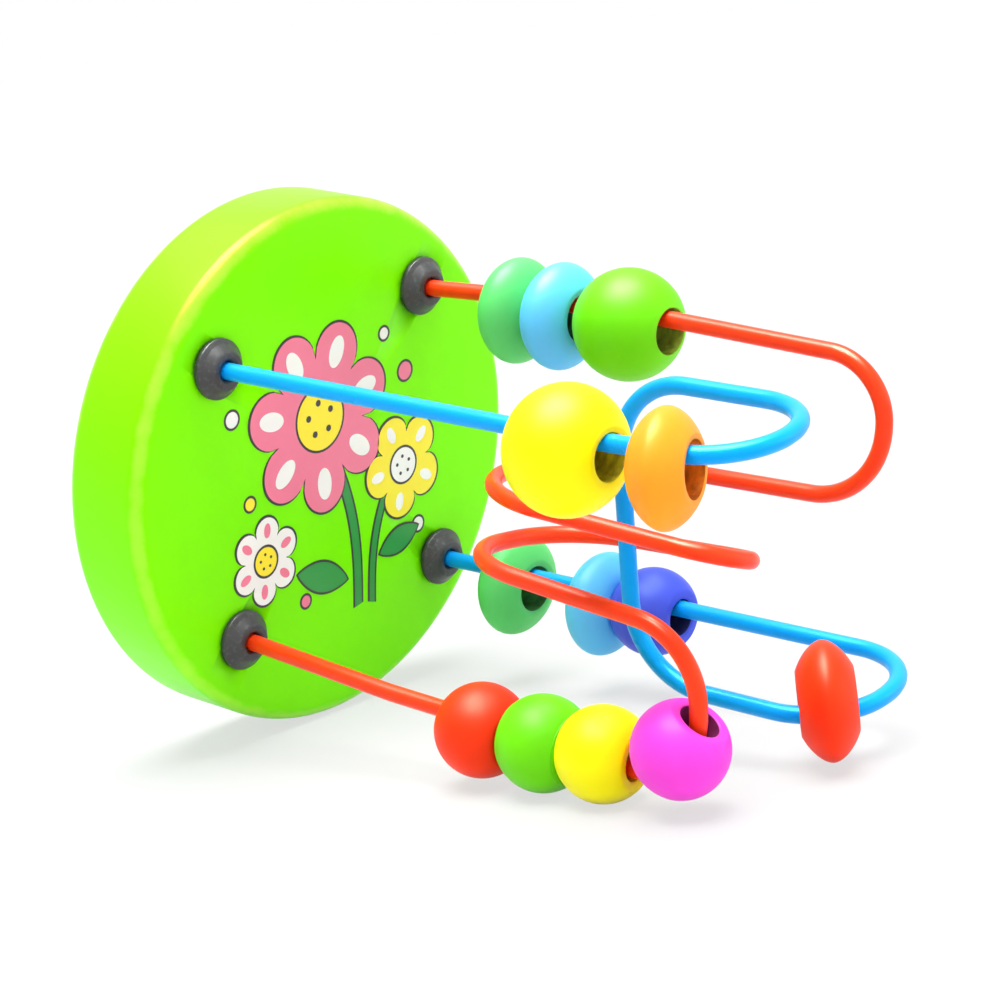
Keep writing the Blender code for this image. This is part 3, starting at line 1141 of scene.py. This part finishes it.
@dataclass
class WireGrid:
    """The grid of holes that the wires are bent on, and the route of each wire."""

    half_pitch: float = 24.6 * MM
    wire_end: float = 4.0
    lean_start: float = 20.5
    holes: Dict[str, Tuple[int, int, float, float]] = field(default_factory=lambda: {
        "back_left": (-1, 1, -0.25, -0.20),
        "front_left": (-1, -1, 0.80, -0.15),
        "back_right": (1, 1, 0.75, 0.05),
        "front_right": (1, -1, -1.20, -0.20),
    })

    def corner(self, column: int, row: int, height: float, lean_x: float, lean_y: float,
               bend: float = 0.0) -> Corner:
        """One corner of a route, with its height, lean and bend radius in millimetres.

        Args:
            column: Place across the grid, from -1 to 1.
            row: Place along the grid, from -1 to 1.
            height: Height above the underside of the base.
            lean_x: How far the wire leans from the grid in X.
            lean_y: How far it leans in Y.
            bend: Radius of the bend, or nought for a change of lean.

        Returns:
            The place in metres and the bend radius in metres.
        """
        place = Vector((column * self.half_pitch + lean_x * MM,
                        row * self.half_pitch + lean_y * MM, height * MM))
        return place, bend * MM

    def foot(self, name: str) -> List[Corner]:
        """The straight foot of a wire in its hole.

        Args:
            name: The hole.

        Returns:
            The foot's two corners, from its end up.
        """
        column, row, lean_x, lean_y = self.holes[name]
        return [self.corner(column, row, height, lean_x, lean_y)
                for height in (self.wire_end, self.lean_start)]

    def red(self) -> List[Corner]:
        """Route of the red wire.

        Returns:
            Its corners, from the back left hole to the front right one.
        """
        corner = self.corner
        return self.foot("back_left") + [
            corner(-1, 1, 31.0, -0.9, 0.1),
            corner(-1, 1, 64.0, -2.3, 0.3),
            corner(-1, 1, 111.3, -1.7, 0.6, 9.7),
            corner(0, 1, 109.7, -2.9, 0.4, 14.2),
            corner(0, 1, 48.8, -0.4, -0.4, 14.0),
            corner(0, 0, 52.5, -5.7, -9.6, 18.0),
            corner(0, 0, 101.9, -3.95, -8.1, 7.8),
            corner(0, 0, 101.9, 2.2, 6.75, 7.8),
            corner(0, 0, 62.4, 4.2, 5.5, 13.2),
            corner(0, -1, 63.1, -1.5, 0.6, 14.1),
            corner(0, -1, 111.0, 1.15, 0.2, 11.4),
            corner(1, -1, 111.0, 0.25, -0.4, 11.4),
            corner(1, -1, 50.0, 0.0, -0.5),
        ] + self.foot("front_right")[::-1]

    def blue(self) -> List[Corner]:
        """Route of the blue wire.

        Returns:
            Its corners, from the front left hole to the back right one.
        """
        corner = self.corner
        return self.foot("front_left") + [
            corner(-1, -1, 88.0, -1.0, -0.4),
            corner(-1, -1, 121.5, -3.0, -0.8, 10.9),
            corner(-1, 0, 118.2, -3.5, -1.85, 12.2),
            corner(-1, 0, 80.3, -2.3, -2.0, 13.6),
            corner(1, 0, 80.3, -0.75, -0.35, 13.0),
            corner(1, 0, 118.5, -1.75, -0.15, 12.2),
            corner(1, 1, 118.5, -2.65, 1.0, 13.0),
        ] + self.foot("back_right")[::-1]


def petal_ring(inner: float, outer: float, petals: int, grow: float = 0.0) -> Outline:
    """Outline of a flower's petals round the origin.

    Args:
        inner: Radius of the notches between the petals.
        outer: Radius of the petals' tips.
        petals: How many there are.
        grow: How far the outline stands outside that, for the dark line round it.

    Returns:
        The outline's points.
    """
    petal_steps = 24
    tip_power = 0.55
    points = []
    steps = petals * petal_steps
    for step in range(steps):
        angle = FULL_TURN * step / steps
        swell = abs(math.cos(petals * angle / 2.0)) ** tip_power
        points.append(around((0.0, 0.0), inner + (outer - inner) * swell + grow, angle))
    return points


def oval(width: float, height: float, grow: float = 0.0) -> Outline:
    """Outline of an oval round the origin.

    Args:
        width: Its size along X.
        height: Its size along Y.
        grow: How far the outline stands outside that.

    Returns:
        The outline's points.
    """
    steps = 40
    return [((width / 2.0 + grow) * math.cos(FULL_TURN * step / steps),
             (height / 2.0 + grow) * math.sin(FULL_TURN * step / steps))
            for step in range(steps)]


def leaf(length: float, width: float, grow: float = 0.0) -> Outline:
    """Outline of a pointed leaf from the origin along +X.

    Args:
        length: Its length.
        width: Its width at the middle.
        grow: How far the outline stands outside that.

    Returns:
        The outline's points.
    """
    steps = 20
    side_power = 0.8
    upper = []
    for step in range(steps + 1):
        share = step / steps
        swell = math.sin(math.pi * share) ** side_power
        upper.append((-grow + (length + 2.0 * grow) * share, (width / 2.0 + grow) * swell))
    lower = [(along, -across) for along, across in reversed(upper[1:-1])]
    return upper + lower


def stalk(start: Tuple[float, float], end: Tuple[float, float], bow: float,
          width: float, grow: float = 0.0) -> Outline:
    """Outline of a curved stalk between two places.

    Args:
        start: Its upper end.
        end: Its lower end.
        bow: How far its middle is bowed to one side.
        width: Its thickness.
        grow: How far the outline stands outside that.

    Returns:
        The outline's points.
    """
    steps = 24
    first, last = Vector(start), Vector(end)
    across = (last - first).normalized().orthogonal()
    left, right = [], []
    for step in range(steps + 1):
        share = step / steps
        middle = first.lerp(last, share) + across * (bow * math.sin(math.pi * share))
        left.append(tuple(middle + across * (width / 2.0 + grow)))
        right.append(tuple(middle - across * (width / 2.0 + grow)))
    return left + right[::-1]


class Ink(Enum):
    """The inks of the print, in the order of their material slots."""

    DARK = 0
    PINK = 1
    WHITE = 2
    YELLOW = 3
    LEAF = 4


@dataclass(frozen=True)
class Flower:
    """One flower of the print. Its marks, heart and specks are shares of its radius."""

    spot: Tuple[float, float]
    radius: float
    petals: int
    ink: Ink
    heart: Ink
    turn: float
    notch: float = 0.62
    mark_place: float = 0.70
    mark_length: float = 0.34
    mark_width: float = 0.20
    heart_size: float = 0.66
    specks: int = 5
    speck_start: float = 0.3
    speck_place: float = 0.17
    speck_size: float = 0.07


@dataclass
class PrintedFlowers:
    """A print of flowers on the face of the base, in flat layers of ink.

    The picture is drawn in millimetres round the base's centre, upright, and made a
    little larger or smaller by its size.
    """

    size: float = 1.14
    line: float = 0.38
    first_layer: float = 0.03 * MM
    layer: float = 0.02 * MM
    leaf_level: int = 4
    flower_level: int = 6
    inks: Tuple[PrintInk, ...] = (
        PrintInk("print_dark_ink", (0.030, 0.026, 0.026)),
        PrintInk("print_pink_ink", (0.860, 0.190, 0.300)),
        PrintInk("print_white_ink", (0.880, 0.880, 0.840)),
        PrintInk("print_yellow_ink", (0.980, 0.790, 0.010)),
        PrintInk("print_leaf_ink", (0.020, 0.300, 0.040)),
    )
    flowers: Tuple[Flower, ...] = (
        Flower((-2.0, 7.5), 14.5, 7, Ink.PINK, Ink.YELLOW, 12.0),
        Flower((15.0, -5.0), 8.2, 5, Ink.YELLOW, Ink.WHITE, 40.0),
        Flower((-15.5, -10.5), 6.6, 6, Ink.WHITE, Ink.YELLOW, 20.0),
    )

    def __post_init__(self) -> None:
        """Start with a bare face."""
        self.shape = bmesh.new()

    def plate(self, outline: Outline, ink: Ink, level: int,
              spot: Tuple[float, float] = (0.0, 0.0), turn: float = 0.0) -> None:
        """Add one flat area of ink.

        Args:
            outline: Its edge, round the origin.
            ink: Its colour.
            level: How many layers lie under it.
            spot: Where it goes on the print.
            turn: How far it is turned, in degrees.
        """
        corners = [self.shape.verts.new((x * MM, y * MM, -self.layer)) for x, y in outline]
        face = self.shape.faces.new(corners)
        raised = bmesh.ops.extrude_face_region(self.shape, geom=[face])
        top = [item for item in raised["geom"] if isinstance(item, bmesh.types.BMVert)]
        faces = {side for corner in corners + top for side in corner.link_faces}
        height = self.first_layer + self.layer * (level + 1)
        bmesh.ops.translate(self.shape, vec=(0.0, 0.0, height), verts=top)
        place = Matrix.Translation((spot[0] * MM, spot[1] * MM, 0.0)) @ \
            Matrix.Rotation(math.radians(turn), 4, 'Z')
        bmesh.ops.transform(self.shape, matrix=place, verts=corners + top)
        for side in faces:
            side.material_index = ink.value
        bmesh.ops.recalc_face_normals(self.shape, faces=list(faces))

    def outlined(self, make: Callable[[float], Outline], ink: Ink, level: int,
                 spot: Tuple[float, float] = (0.0, 0.0), turn: float = 0.0) -> None:
        """Add an area of ink with a dark line round it.

        Args:
            make: Gives the area's edge, grown by a width.
            ink: Its colour.
            level: How many layers lie under the line.
            spot: Where it goes on the print.
            turn: How far it is turned, in degrees.
        """
        self.plate(make(self.line), Ink.DARK, level, spot, turn)
        self.plate(make(0.0), ink, level + 1, spot, turn)

    def flower(self, flower: Flower, level: int) -> None:
        """Add a flower with outlined petals, a mark on each and a specked heart.

        Args:
            flower: The flower.
            level: How many layers lie under it.
        """
        radius = flower.radius
        petals = partial(petal_ring, flower.notch * radius, radius, flower.petals)
        self.outlined(petals, flower.ink, level, flower.spot, flower.turn)
        mark = Ink.WHITE if flower.ink is not Ink.WHITE else Ink.PINK
        for index in range(flower.petals):
            angle = math.radians(flower.turn) + FULL_TURN * index / flower.petals
            centre = around(flower.spot, flower.mark_place * radius, angle)
            self.plate(oval(flower.mark_length * radius, flower.mark_width * radius),
                       mark, level + 2, centre, math.degrees(angle))
        heart = partial(oval, flower.heart_size * radius, flower.heart_size * radius)
        self.outlined(heart, flower.heart, level + 2, flower.spot)
        for index in range(flower.specks):
            angle = FULL_TURN * (index + flower.speck_start) / flower.specks
            speck = around(flower.spot, flower.speck_place * radius, angle)
            self.plate(oval(flower.speck_size * radius, flower.speck_size * radius),
                       Ink.DARK, level + 4, speck)

    def draw(self) -> None:
        """Draw the picture, from its lowest layer up."""
        stalks = [((-1.0, 4.0), (3.0, -24.0), 2.2, 1.5, 0),
                  ((13.5, -4.0), (6.0, -24.5), -1.8, 1.1, 2)]
        leaves = [(11.0, 4.6, (1.0, -19.0), 158.0),
                  (9.0, 3.8, (8.5, -17.5), 12.0)]
        dots = [((-19.5, 12.5), 2.4, Ink.WHITE), ((17.0, 9.5), 2.8, Ink.PINK),
                ((13.0, 16.5), 1.8, Ink.WHITE), ((-8.0, -19.5), 1.8, Ink.PINK),
                ((17.5, -15.5), 2.2, Ink.WHITE), ((-17.5, -1.0), 1.9, Ink.YELLOW)]
        for start, end, bow, width, level in stalks:
            self.outlined(partial(stalk, start, end, bow, width), Ink.LEAF, level)
        for length, width, spot, turn in leaves:
            self.outlined(partial(leaf, length, width), Ink.LEAF, self.leaf_level, spot,
                          turn)
        for flower in self.flowers:
            self.flower(flower, self.flower_level)
        for spot, width, ink in dots:
            self.outlined(partial(oval, width, width), ink, 0, spot)

    def build(self, effects: SurfaceEffects) -> bpy.types.Object:
        """Print the picture on the base, with its upper side towards -X.

        Args:
            effects: The shared effects.

        Returns:
            The print.
        """
        self.draw()
        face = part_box("base_disc")[1].z
        place = Matrix(((0.0, -self.size, 0.0, 0.0), (self.size, 0.0, 0.0, 0.0),
                        (0.0, 0.0, 1.0, face), (0.0, 0.0, 0.0, 1.0)))
        materials = [ink.material(effects) for ink in self.inks]
        sheet = finished(self.shape, "printed_flowers", place, materials)
        for polygon in sheet.data.polygons:
            polygon.use_smooth = False
        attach(sheet, "frame")
        LOG.info("%s rides on the base", sheet.name)
        return sheet


@dataclass(frozen=True)
class Lamp:
    """A broad far lamp, which lights every part of the table alike.

    The way to it is so much up from the table, towards the camera and to the picture's
    right. Its spread is the angle that it fills, in degrees, which sets how soft it is.
    Its share is the light on a facing white surface, where 1 is pure white.
    """

    name: str
    up: float
    towards: float
    right: float
    spread: float
    share: float
    lights_matt: bool = True


@dataclass
class Studio:
    """Camera, lamps, world and the white table that the toy lies on."""

    lens_mm: float = 102.78
    sensor_mm: float = 36.0
    nearest: float = 0.01
    farthest: float = 20.0
    camera_place: Vector = field(default_factory=lambda: Vector((-162.26, -322.87, 338.03)) * MM)
    camera_right: Vector = field(default_factory=lambda: Vector((0.05651, 0.64383, 0.76308)))
    camera_up: Vector = field(default_factory=lambda: Vector((-0.93442, 0.30331, -0.18671)))
    camera_back: Vector = field(default_factory=lambda: Vector((-0.35165, -0.70249, 0.61875)))
    table_up: Vector = field(default_factory=lambda: Vector((-0.985, 0.095, -0.145)))
    sky_strength: float = 0.36
    table_colour: Colour = (0.54, 0.54, 0.54)
    table_roughness: float = 0.6
    table_specular: float = 0.2
    table_lift: float = 0.66
    table_half: float = 3.0
    table_gap: float = 0.05 * MM
    lamps: Tuple[Lamp, ...] = (
        Lamp("overhead", up=1.0, towards=0.02, right=-0.05, spread=50.0, share=1.95),
        Lamp("from_the_right", up=-0.05, towards=0.3, right=1.0, spread=80.0, share=0.56),
        Lamp("from_the_camera", up=-0.2, towards=1.0, right=0.0, spread=60.0, share=0.13),
        Lamp("gleam", up=1.0, towards=0.10, right=-0.10, spread=44.0, share=4.6,
             lights_matt=False),
    )

    def camera(self) -> None:
        """The camera at the viewing angle of the photograph."""
        data = bpy.data.cameras.new("viewpoint")
        data.lens = self.lens_mm
        data.sensor_width = self.sensor_mm
        data.clip_start = self.nearest
        data.clip_end = self.farthest
        camera = bpy.data.objects.new("viewpoint", data)
        bpy.context.scene.collection.objects.link(camera)
        turn = Matrix((self.camera_right, self.camera_up, self.camera_back)).transposed()
        camera.matrix_world = Matrix.Translation(self.camera_place) @ turn.to_4x4()
        bpy.context.scene.camera = camera

    def hang(self, lamp: Lamp) -> None:
        """Put up one lamp.

        Args:
            lamp: The lamp.
        """
        data = bpy.data.lights.new(lamp.name, 'SUN')
        data.angle = math.radians(lamp.spread)
        data.energy = lamp.share * math.pi
        light = bpy.data.objects.new(lamp.name, data)
        bpy.context.scene.collection.objects.link(light)
        direction = (lamp.up * self.table_up.normalized()
                     + lamp.towards * self.camera_back + lamp.right * self.camera_right)
        light.rotation_mode = 'QUATERNION'
        light.rotation_quaternion = direction.normalized().to_track_quat('Z', 'Y')
        light.visible_diffuse = lamp.lights_matt

    @staticmethod
    def seen(write: NodeWriter) -> bpy.types.NodeSocket:
        """Whether a ray shows what is behind the toy, straight on or by reflection.

        Args:
            write: The writer of the tree.

        Returns:
            One where it does.
        """
        path = write.add("LightPath")
        total = path.outputs["Is Camera Ray"]
        for name in ("Is Glossy Ray", "Is Transmission Ray"):
            total = write.maths('MAXIMUM', total, path.outputs[name])
        return total

    def world(self) -> None:
        """White behind the object, and soft even light on it."""
        world = bpy.data.worlds.new("white_room")
        bpy.context.scene.world = world
        world.use_nodes = True
        shell = world.node_tree.nodes["Background"]
        shell.inputs["Color"].default_value = rgba(WHITE)
        write = NodeWriter(world.node_tree)
        strength = write.add("MapRange")
        strength.inputs["To Min"].default_value = self.sky_strength
        strength.inputs["To Max"].default_value = 1.0
        write.link(self.seen(write), strength.inputs["Value"])
        write.link(strength.outputs["Result"], shell.inputs["Strength"])

    def table_material(self) -> bpy.types.Material:
        """The table's finish, which is pale to the eye, dim to the toy and unseen from below.

        Returns:
            The material.
        """
        material, write, shader = start_material("white_table")
        shader.inputs["Base Color"].default_value = rgba(self.table_colour)
        shader.inputs["Roughness"].default_value = self.table_roughness
        shader.inputs["Specular IOR Level"].default_value = self.table_specular
        glow = write.add("Emission")
        glow.inputs["Color"].default_value = rgba(WHITE)
        lifted = write.add("MixShader")
        write.link(write.scaled(self.seen(write), self.table_lift), lifted.inputs["Fac"])
        write.link(shader.outputs["BSDF"], lifted.inputs[1])
        write.link(glow.outputs["Emission"], lifted.inputs[2])
        clear = write.add("BsdfTransparent")
        side = write.add("NewGeometry")
        chosen = write.add("MixShader")
        write.link(side.outputs["Backfacing"], chosen.inputs["Fac"])
        write.link(lifted.outputs["Shader"], chosen.inputs[1])
        write.link(clear.outputs["BSDF"], chosen.inputs[2])
        output = material.node_tree.nodes["Material Output"]
        write.link(chosen.outputs["Shader"], output.inputs["Surface"])
        return material

    def table(self) -> None:
        """A white table under the lowest points of the toy."""
        up = self.table_up.normalized()
        lowest = min(vert.co.dot(up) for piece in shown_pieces()
                     for vert in piece.data.vertices)
        shape = bmesh.new()
        bmesh.ops.create_grid(shape, x_segments=1, y_segments=1, size=self.table_half)
        place = Matrix.Translation(up * (lowest - self.table_gap)) @ \
            up.to_track_quat('Z', 'Y').to_matrix().to_4x4()
        finished(shape, "table", place, [self.table_material()])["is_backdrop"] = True

    def build(self) -> None:
        """Set up the whole studio."""
        self.camera()
        for lamp in self.lamps:
            self.hang(lamp)
        self.world()
        self.table()
        bpy.context.scene.view_settings.view_transform = 'Standard'
        LOG.info("studio ready")


SOFT_GREEN = BeadPaint("soft_green_paint", (0.125, 0.700, 0.170), (0.100, 0.580, 0.130),
                       (0.070, 0.240, 0.060), (0.50, 1.0, 0.60), "bead_soft_green")
SKY = BeadPaint("sky_paint", (0.125, 0.600, 1.000), (0.095, 0.510, 1.000),
                (0.070, 0.220, 0.300), (0.75, 1.0, 1.0), "bead_sky")
LEAF = BeadPaint("leaf_green_paint", (0.165, 0.760, 0.000), (0.125, 0.640, 0.000),
                 (0.330, 0.540, 0.050), (0.62, 1.0, 0.50), "bead_leaf")
YELLOW = BeadPaint("yellow_paint", (1.000, 0.960, 0.000), (0.990, 0.890, 0.000),
                   (0.800, 0.620, 0.015), (1.0, 1.0, 0.45), "bead_yellow")
ORANGE = BeadPaint("orange_paint", (1.000, 0.350, 0.020), (0.980, 0.290, 0.013),
                   (1.000, 0.190, 0.006), (1.0, 0.85, 0.38), "bead_orange")
NAVY = BeadPaint("dark_blue_paint", (0.066, 0.105, 0.760), (0.046, 0.075, 0.620),
                 (0.030, 0.030, 0.140), (0.40, 0.6, 1.0), "bead_dark_blue")
SCARLET = BeadPaint("scarlet_paint", (1.000, 0.034, 0.000), (0.960, 0.025, 0.000),
                    (0.300, 0.035, 0.008), (1.0, 0.70, 0.50), "bead_red")
PINK = BeadPaint("pink_paint", (0.990, 0.066, 0.760), (0.910, 0.046, 0.660),
                 (0.260, 0.020, 0.160), (1.0, 0.55, 1.0), "bead_pink")
RED_COATING = WireCoating("red_coating", (0.960, 0.046, 0.004), (0.880, 0.032, 0.003),
                          (1.0, 0.45, 0.32), "wire_red")
BLUE_COATING = WireCoating("blue_coating", (0.003, 0.370, 1.000), (0.002, 0.310, 1.000),
                           (0.1, 0.8, 1.0), "wire_blue")


@dataclass
class BeadSet:
    """Every bead on the wires. A run is the pair of corners that a straight lies between."""

    grid: WireGrid
    back_left_run: Tuple[int, int] = (2, 3)
    front_left_run: Tuple[int, int] = (1, 2)
    front_left_top_run: Tuple[int, int] = (2, 3)
    back_right_run: Tuple[int, int] = (9, 8)
    front_right_run: Tuple[int, int] = (14, 13)
    saucer: BeadSize = BeadSize(BeadForm.SAUCER, 17.9 * MM, 8.6 * MM, 7.9 * MM)
    sky: BeadSize = BeadSize(BeadForm.SAUCER, 18.0 * MM, 9.0 * MM, 7.9 * MM)
    orange: BeadSize = BeadSize(BeadForm.SAUCER, 17.9 * MM, 8.7 * MM, 8.6 * MM, 0.15 * MM,
                                hub=5.1 * MM, fullness=1.75)
    red: BeadSize = BeadSize(BeadForm.SAUCER, 18.7 * MM, 8.9 * MM, 8.4 * MM, 0.15 * MM,
                             hub=5.0 * MM, fullness=1.75)
    small: BeadSize = BeadSize(BeadForm.BALL, 15.0 * MM, 11.8 * MM, 6.1 * MM, 0.5 * MM)
    middle: BeadSize = BeadSize(BeadForm.BALL, 15.2 * MM, 11.0 * MM, 6.1 * MM, 0.5 * MM)
    threaded: BeadSize = BeadSize(BeadForm.BALL, 15.0 * MM, 11.8 * MM, 6.4 * MM, 0.4 * MM)
    green: BeadSize = BeadSize(BeadForm.BALL, 18.6 * MM, 16.8 * MM, 7.6 * MM, 0.15 * MM)
    large: BeadSize = BeadSize(BeadForm.BALL, 19.9 * MM, 16.4 * MM, 7.2 * MM, 0.3 * MM, 0.93)

    @staticmethod
    def along(route: List[Corner], run: Tuple[int, int], lean_x: float = 0.0,
              lean_y: float = 0.0) -> Vector:
        """Direction of a run of wire, leaned a little as the bead hangs.

        Args:
            route: The wire's corners.
            run: The lower and the upper corner of the run.
            lean_x: How far the bead leans in X, as a slope.
            lean_y: How far it leans in Y.

        Returns:
            The direction.
        """
        low, high = (route[index][0] for index in run)
        return (high - low).normalized() + Vector((lean_x, lean_y, 0.0))

    @staticmethod
    def on_bend(node: str, lean: Tuple[float, float, float]) -> Vector:
        """Direction of the wire through a bead on a bend, from the bead's hinge.

        Args:
            node: The bead's node.
            lean: How far the bead leans from the wire, as slopes.

        Returns:
            The direction.
        """
        joint = next(item for item in frame["record"]["behaviour"]["joints"]
                     if item["child"] == "bead_" + node)
        arm = node_centre(node) - Vector(joint["pos_m"])
        along = Vector(joint["axis"]).cross(arm).normalized()
        return (along if along.z > 0.0 else -along) + Vector(lean)

    def beads(self) -> List[Bead]:
        """The beads, run by run.

        Returns:
            The beads, not built yet.
        """
        red, blue = self.grid.red(), self.grid.blue()
        along, on_bend = self.along, self.on_bend
        back_left = along(red, self.back_left_run)
        back_right = along(blue, self.back_right_run)
        return [
            Bead("back_left_green_saucer", self.saucer, SOFT_GREEN, back_left,
                 shift=(0.15, 0.0, 0.15)),
            Bead("back_left_sky_saucer", self.sky, SKY, back_left, shift=(0.12, 0.0, 0.60)),
            Bead("back_left_green_ball", self.green, LEAF,
                 along(red, self.back_left_run, lean_x=0.03), shift=(0.0, 0.0, 0.40)),
            Bead("front_left_yellow_ball", self.large, YELLOW,
                 along(blue, self.front_left_run, lean_x=-0.02)),
            Bead("front_left_orange_saucer", self.orange, ORANGE,
                 along(blue, self.front_left_top_run, lean_y=0.32), shift=(0.22, 0.0, 0.0)),
            Bead("back_right_green_saucer", self.saucer, SOFT_GREEN,
                 along(blue, self.back_right_run, lean_x=0.03)),
            Bead("back_right_sky_saucer", self.saucer, SKY, back_right),
            Bead("back_right_dark_blue_ball", self.small, NAVY, back_right),
            Bead("right_red_saucer", self.red, SCARLET,
                 on_bend("right_red_saucer", (-0.034, -0.064, 0.044))),
            Bead("front_right_red_ball", self.small, SCARLET,
                 along(red, self.front_right_run)),
            Bead("front_right_green_ball", self.middle, LEAF,
                 along(red, self.front_right_run, lean_y=0.06), shift=(0.05, 0.0, 0.35)),
            Bead("front_right_yellow_ball", self.small, YELLOW,
                 along(red, self.front_right_run, lean_y=0.12)),
            Bead("front_right_pink_ball", self.threaded, PINK,
                 on_bend("front_right_pink_ball", (-0.036, 0.156, -0.088))),
        ]

    def build(self, effects: SurfaceEffects) -> None:
        """Turn all the beads, each colour with one paint.

        Args:
            effects: The shared effects.
        """
        paints: Dict[str, bpy.types.Material] = {}
        for bead in self.beads():
            if bead.paint.name not in paints:
                paints[bead.paint.name] = bead.paint.material(effects)
            bead.build(paints[bead.paint.name])


def main() -> None:
    """Build every piece, then the studio."""
    logging.basicConfig(level=logging.INFO, format="%(name)s: %(message)s")
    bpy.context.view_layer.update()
    effects = SurfaceEffects()
    grid = WireGrid()
    cap_nodes = sorted(name for name in frame["nodes"] if name.startswith("wire_cap_"))
    BaseDisc(BasePaint(), hole_places=[node_centre(name) for name in cap_nodes]).build(effects)
    plastic = CapPlastic()
    black = plastic.material(effects)
    for name in cap_nodes:
        WireCap(name, black, plastic.slot).build()
    BentWire("red_wire", RED_COATING, grid.red()).build(effects)
    BentWire("blue_wire", BLUE_COATING, grid.blue()).build(effects)
    BeadSet(grid).build(effects)
    PrintedFlowers().build(effects)
    Studio().build()


if __name__ == "__main__":
    main()
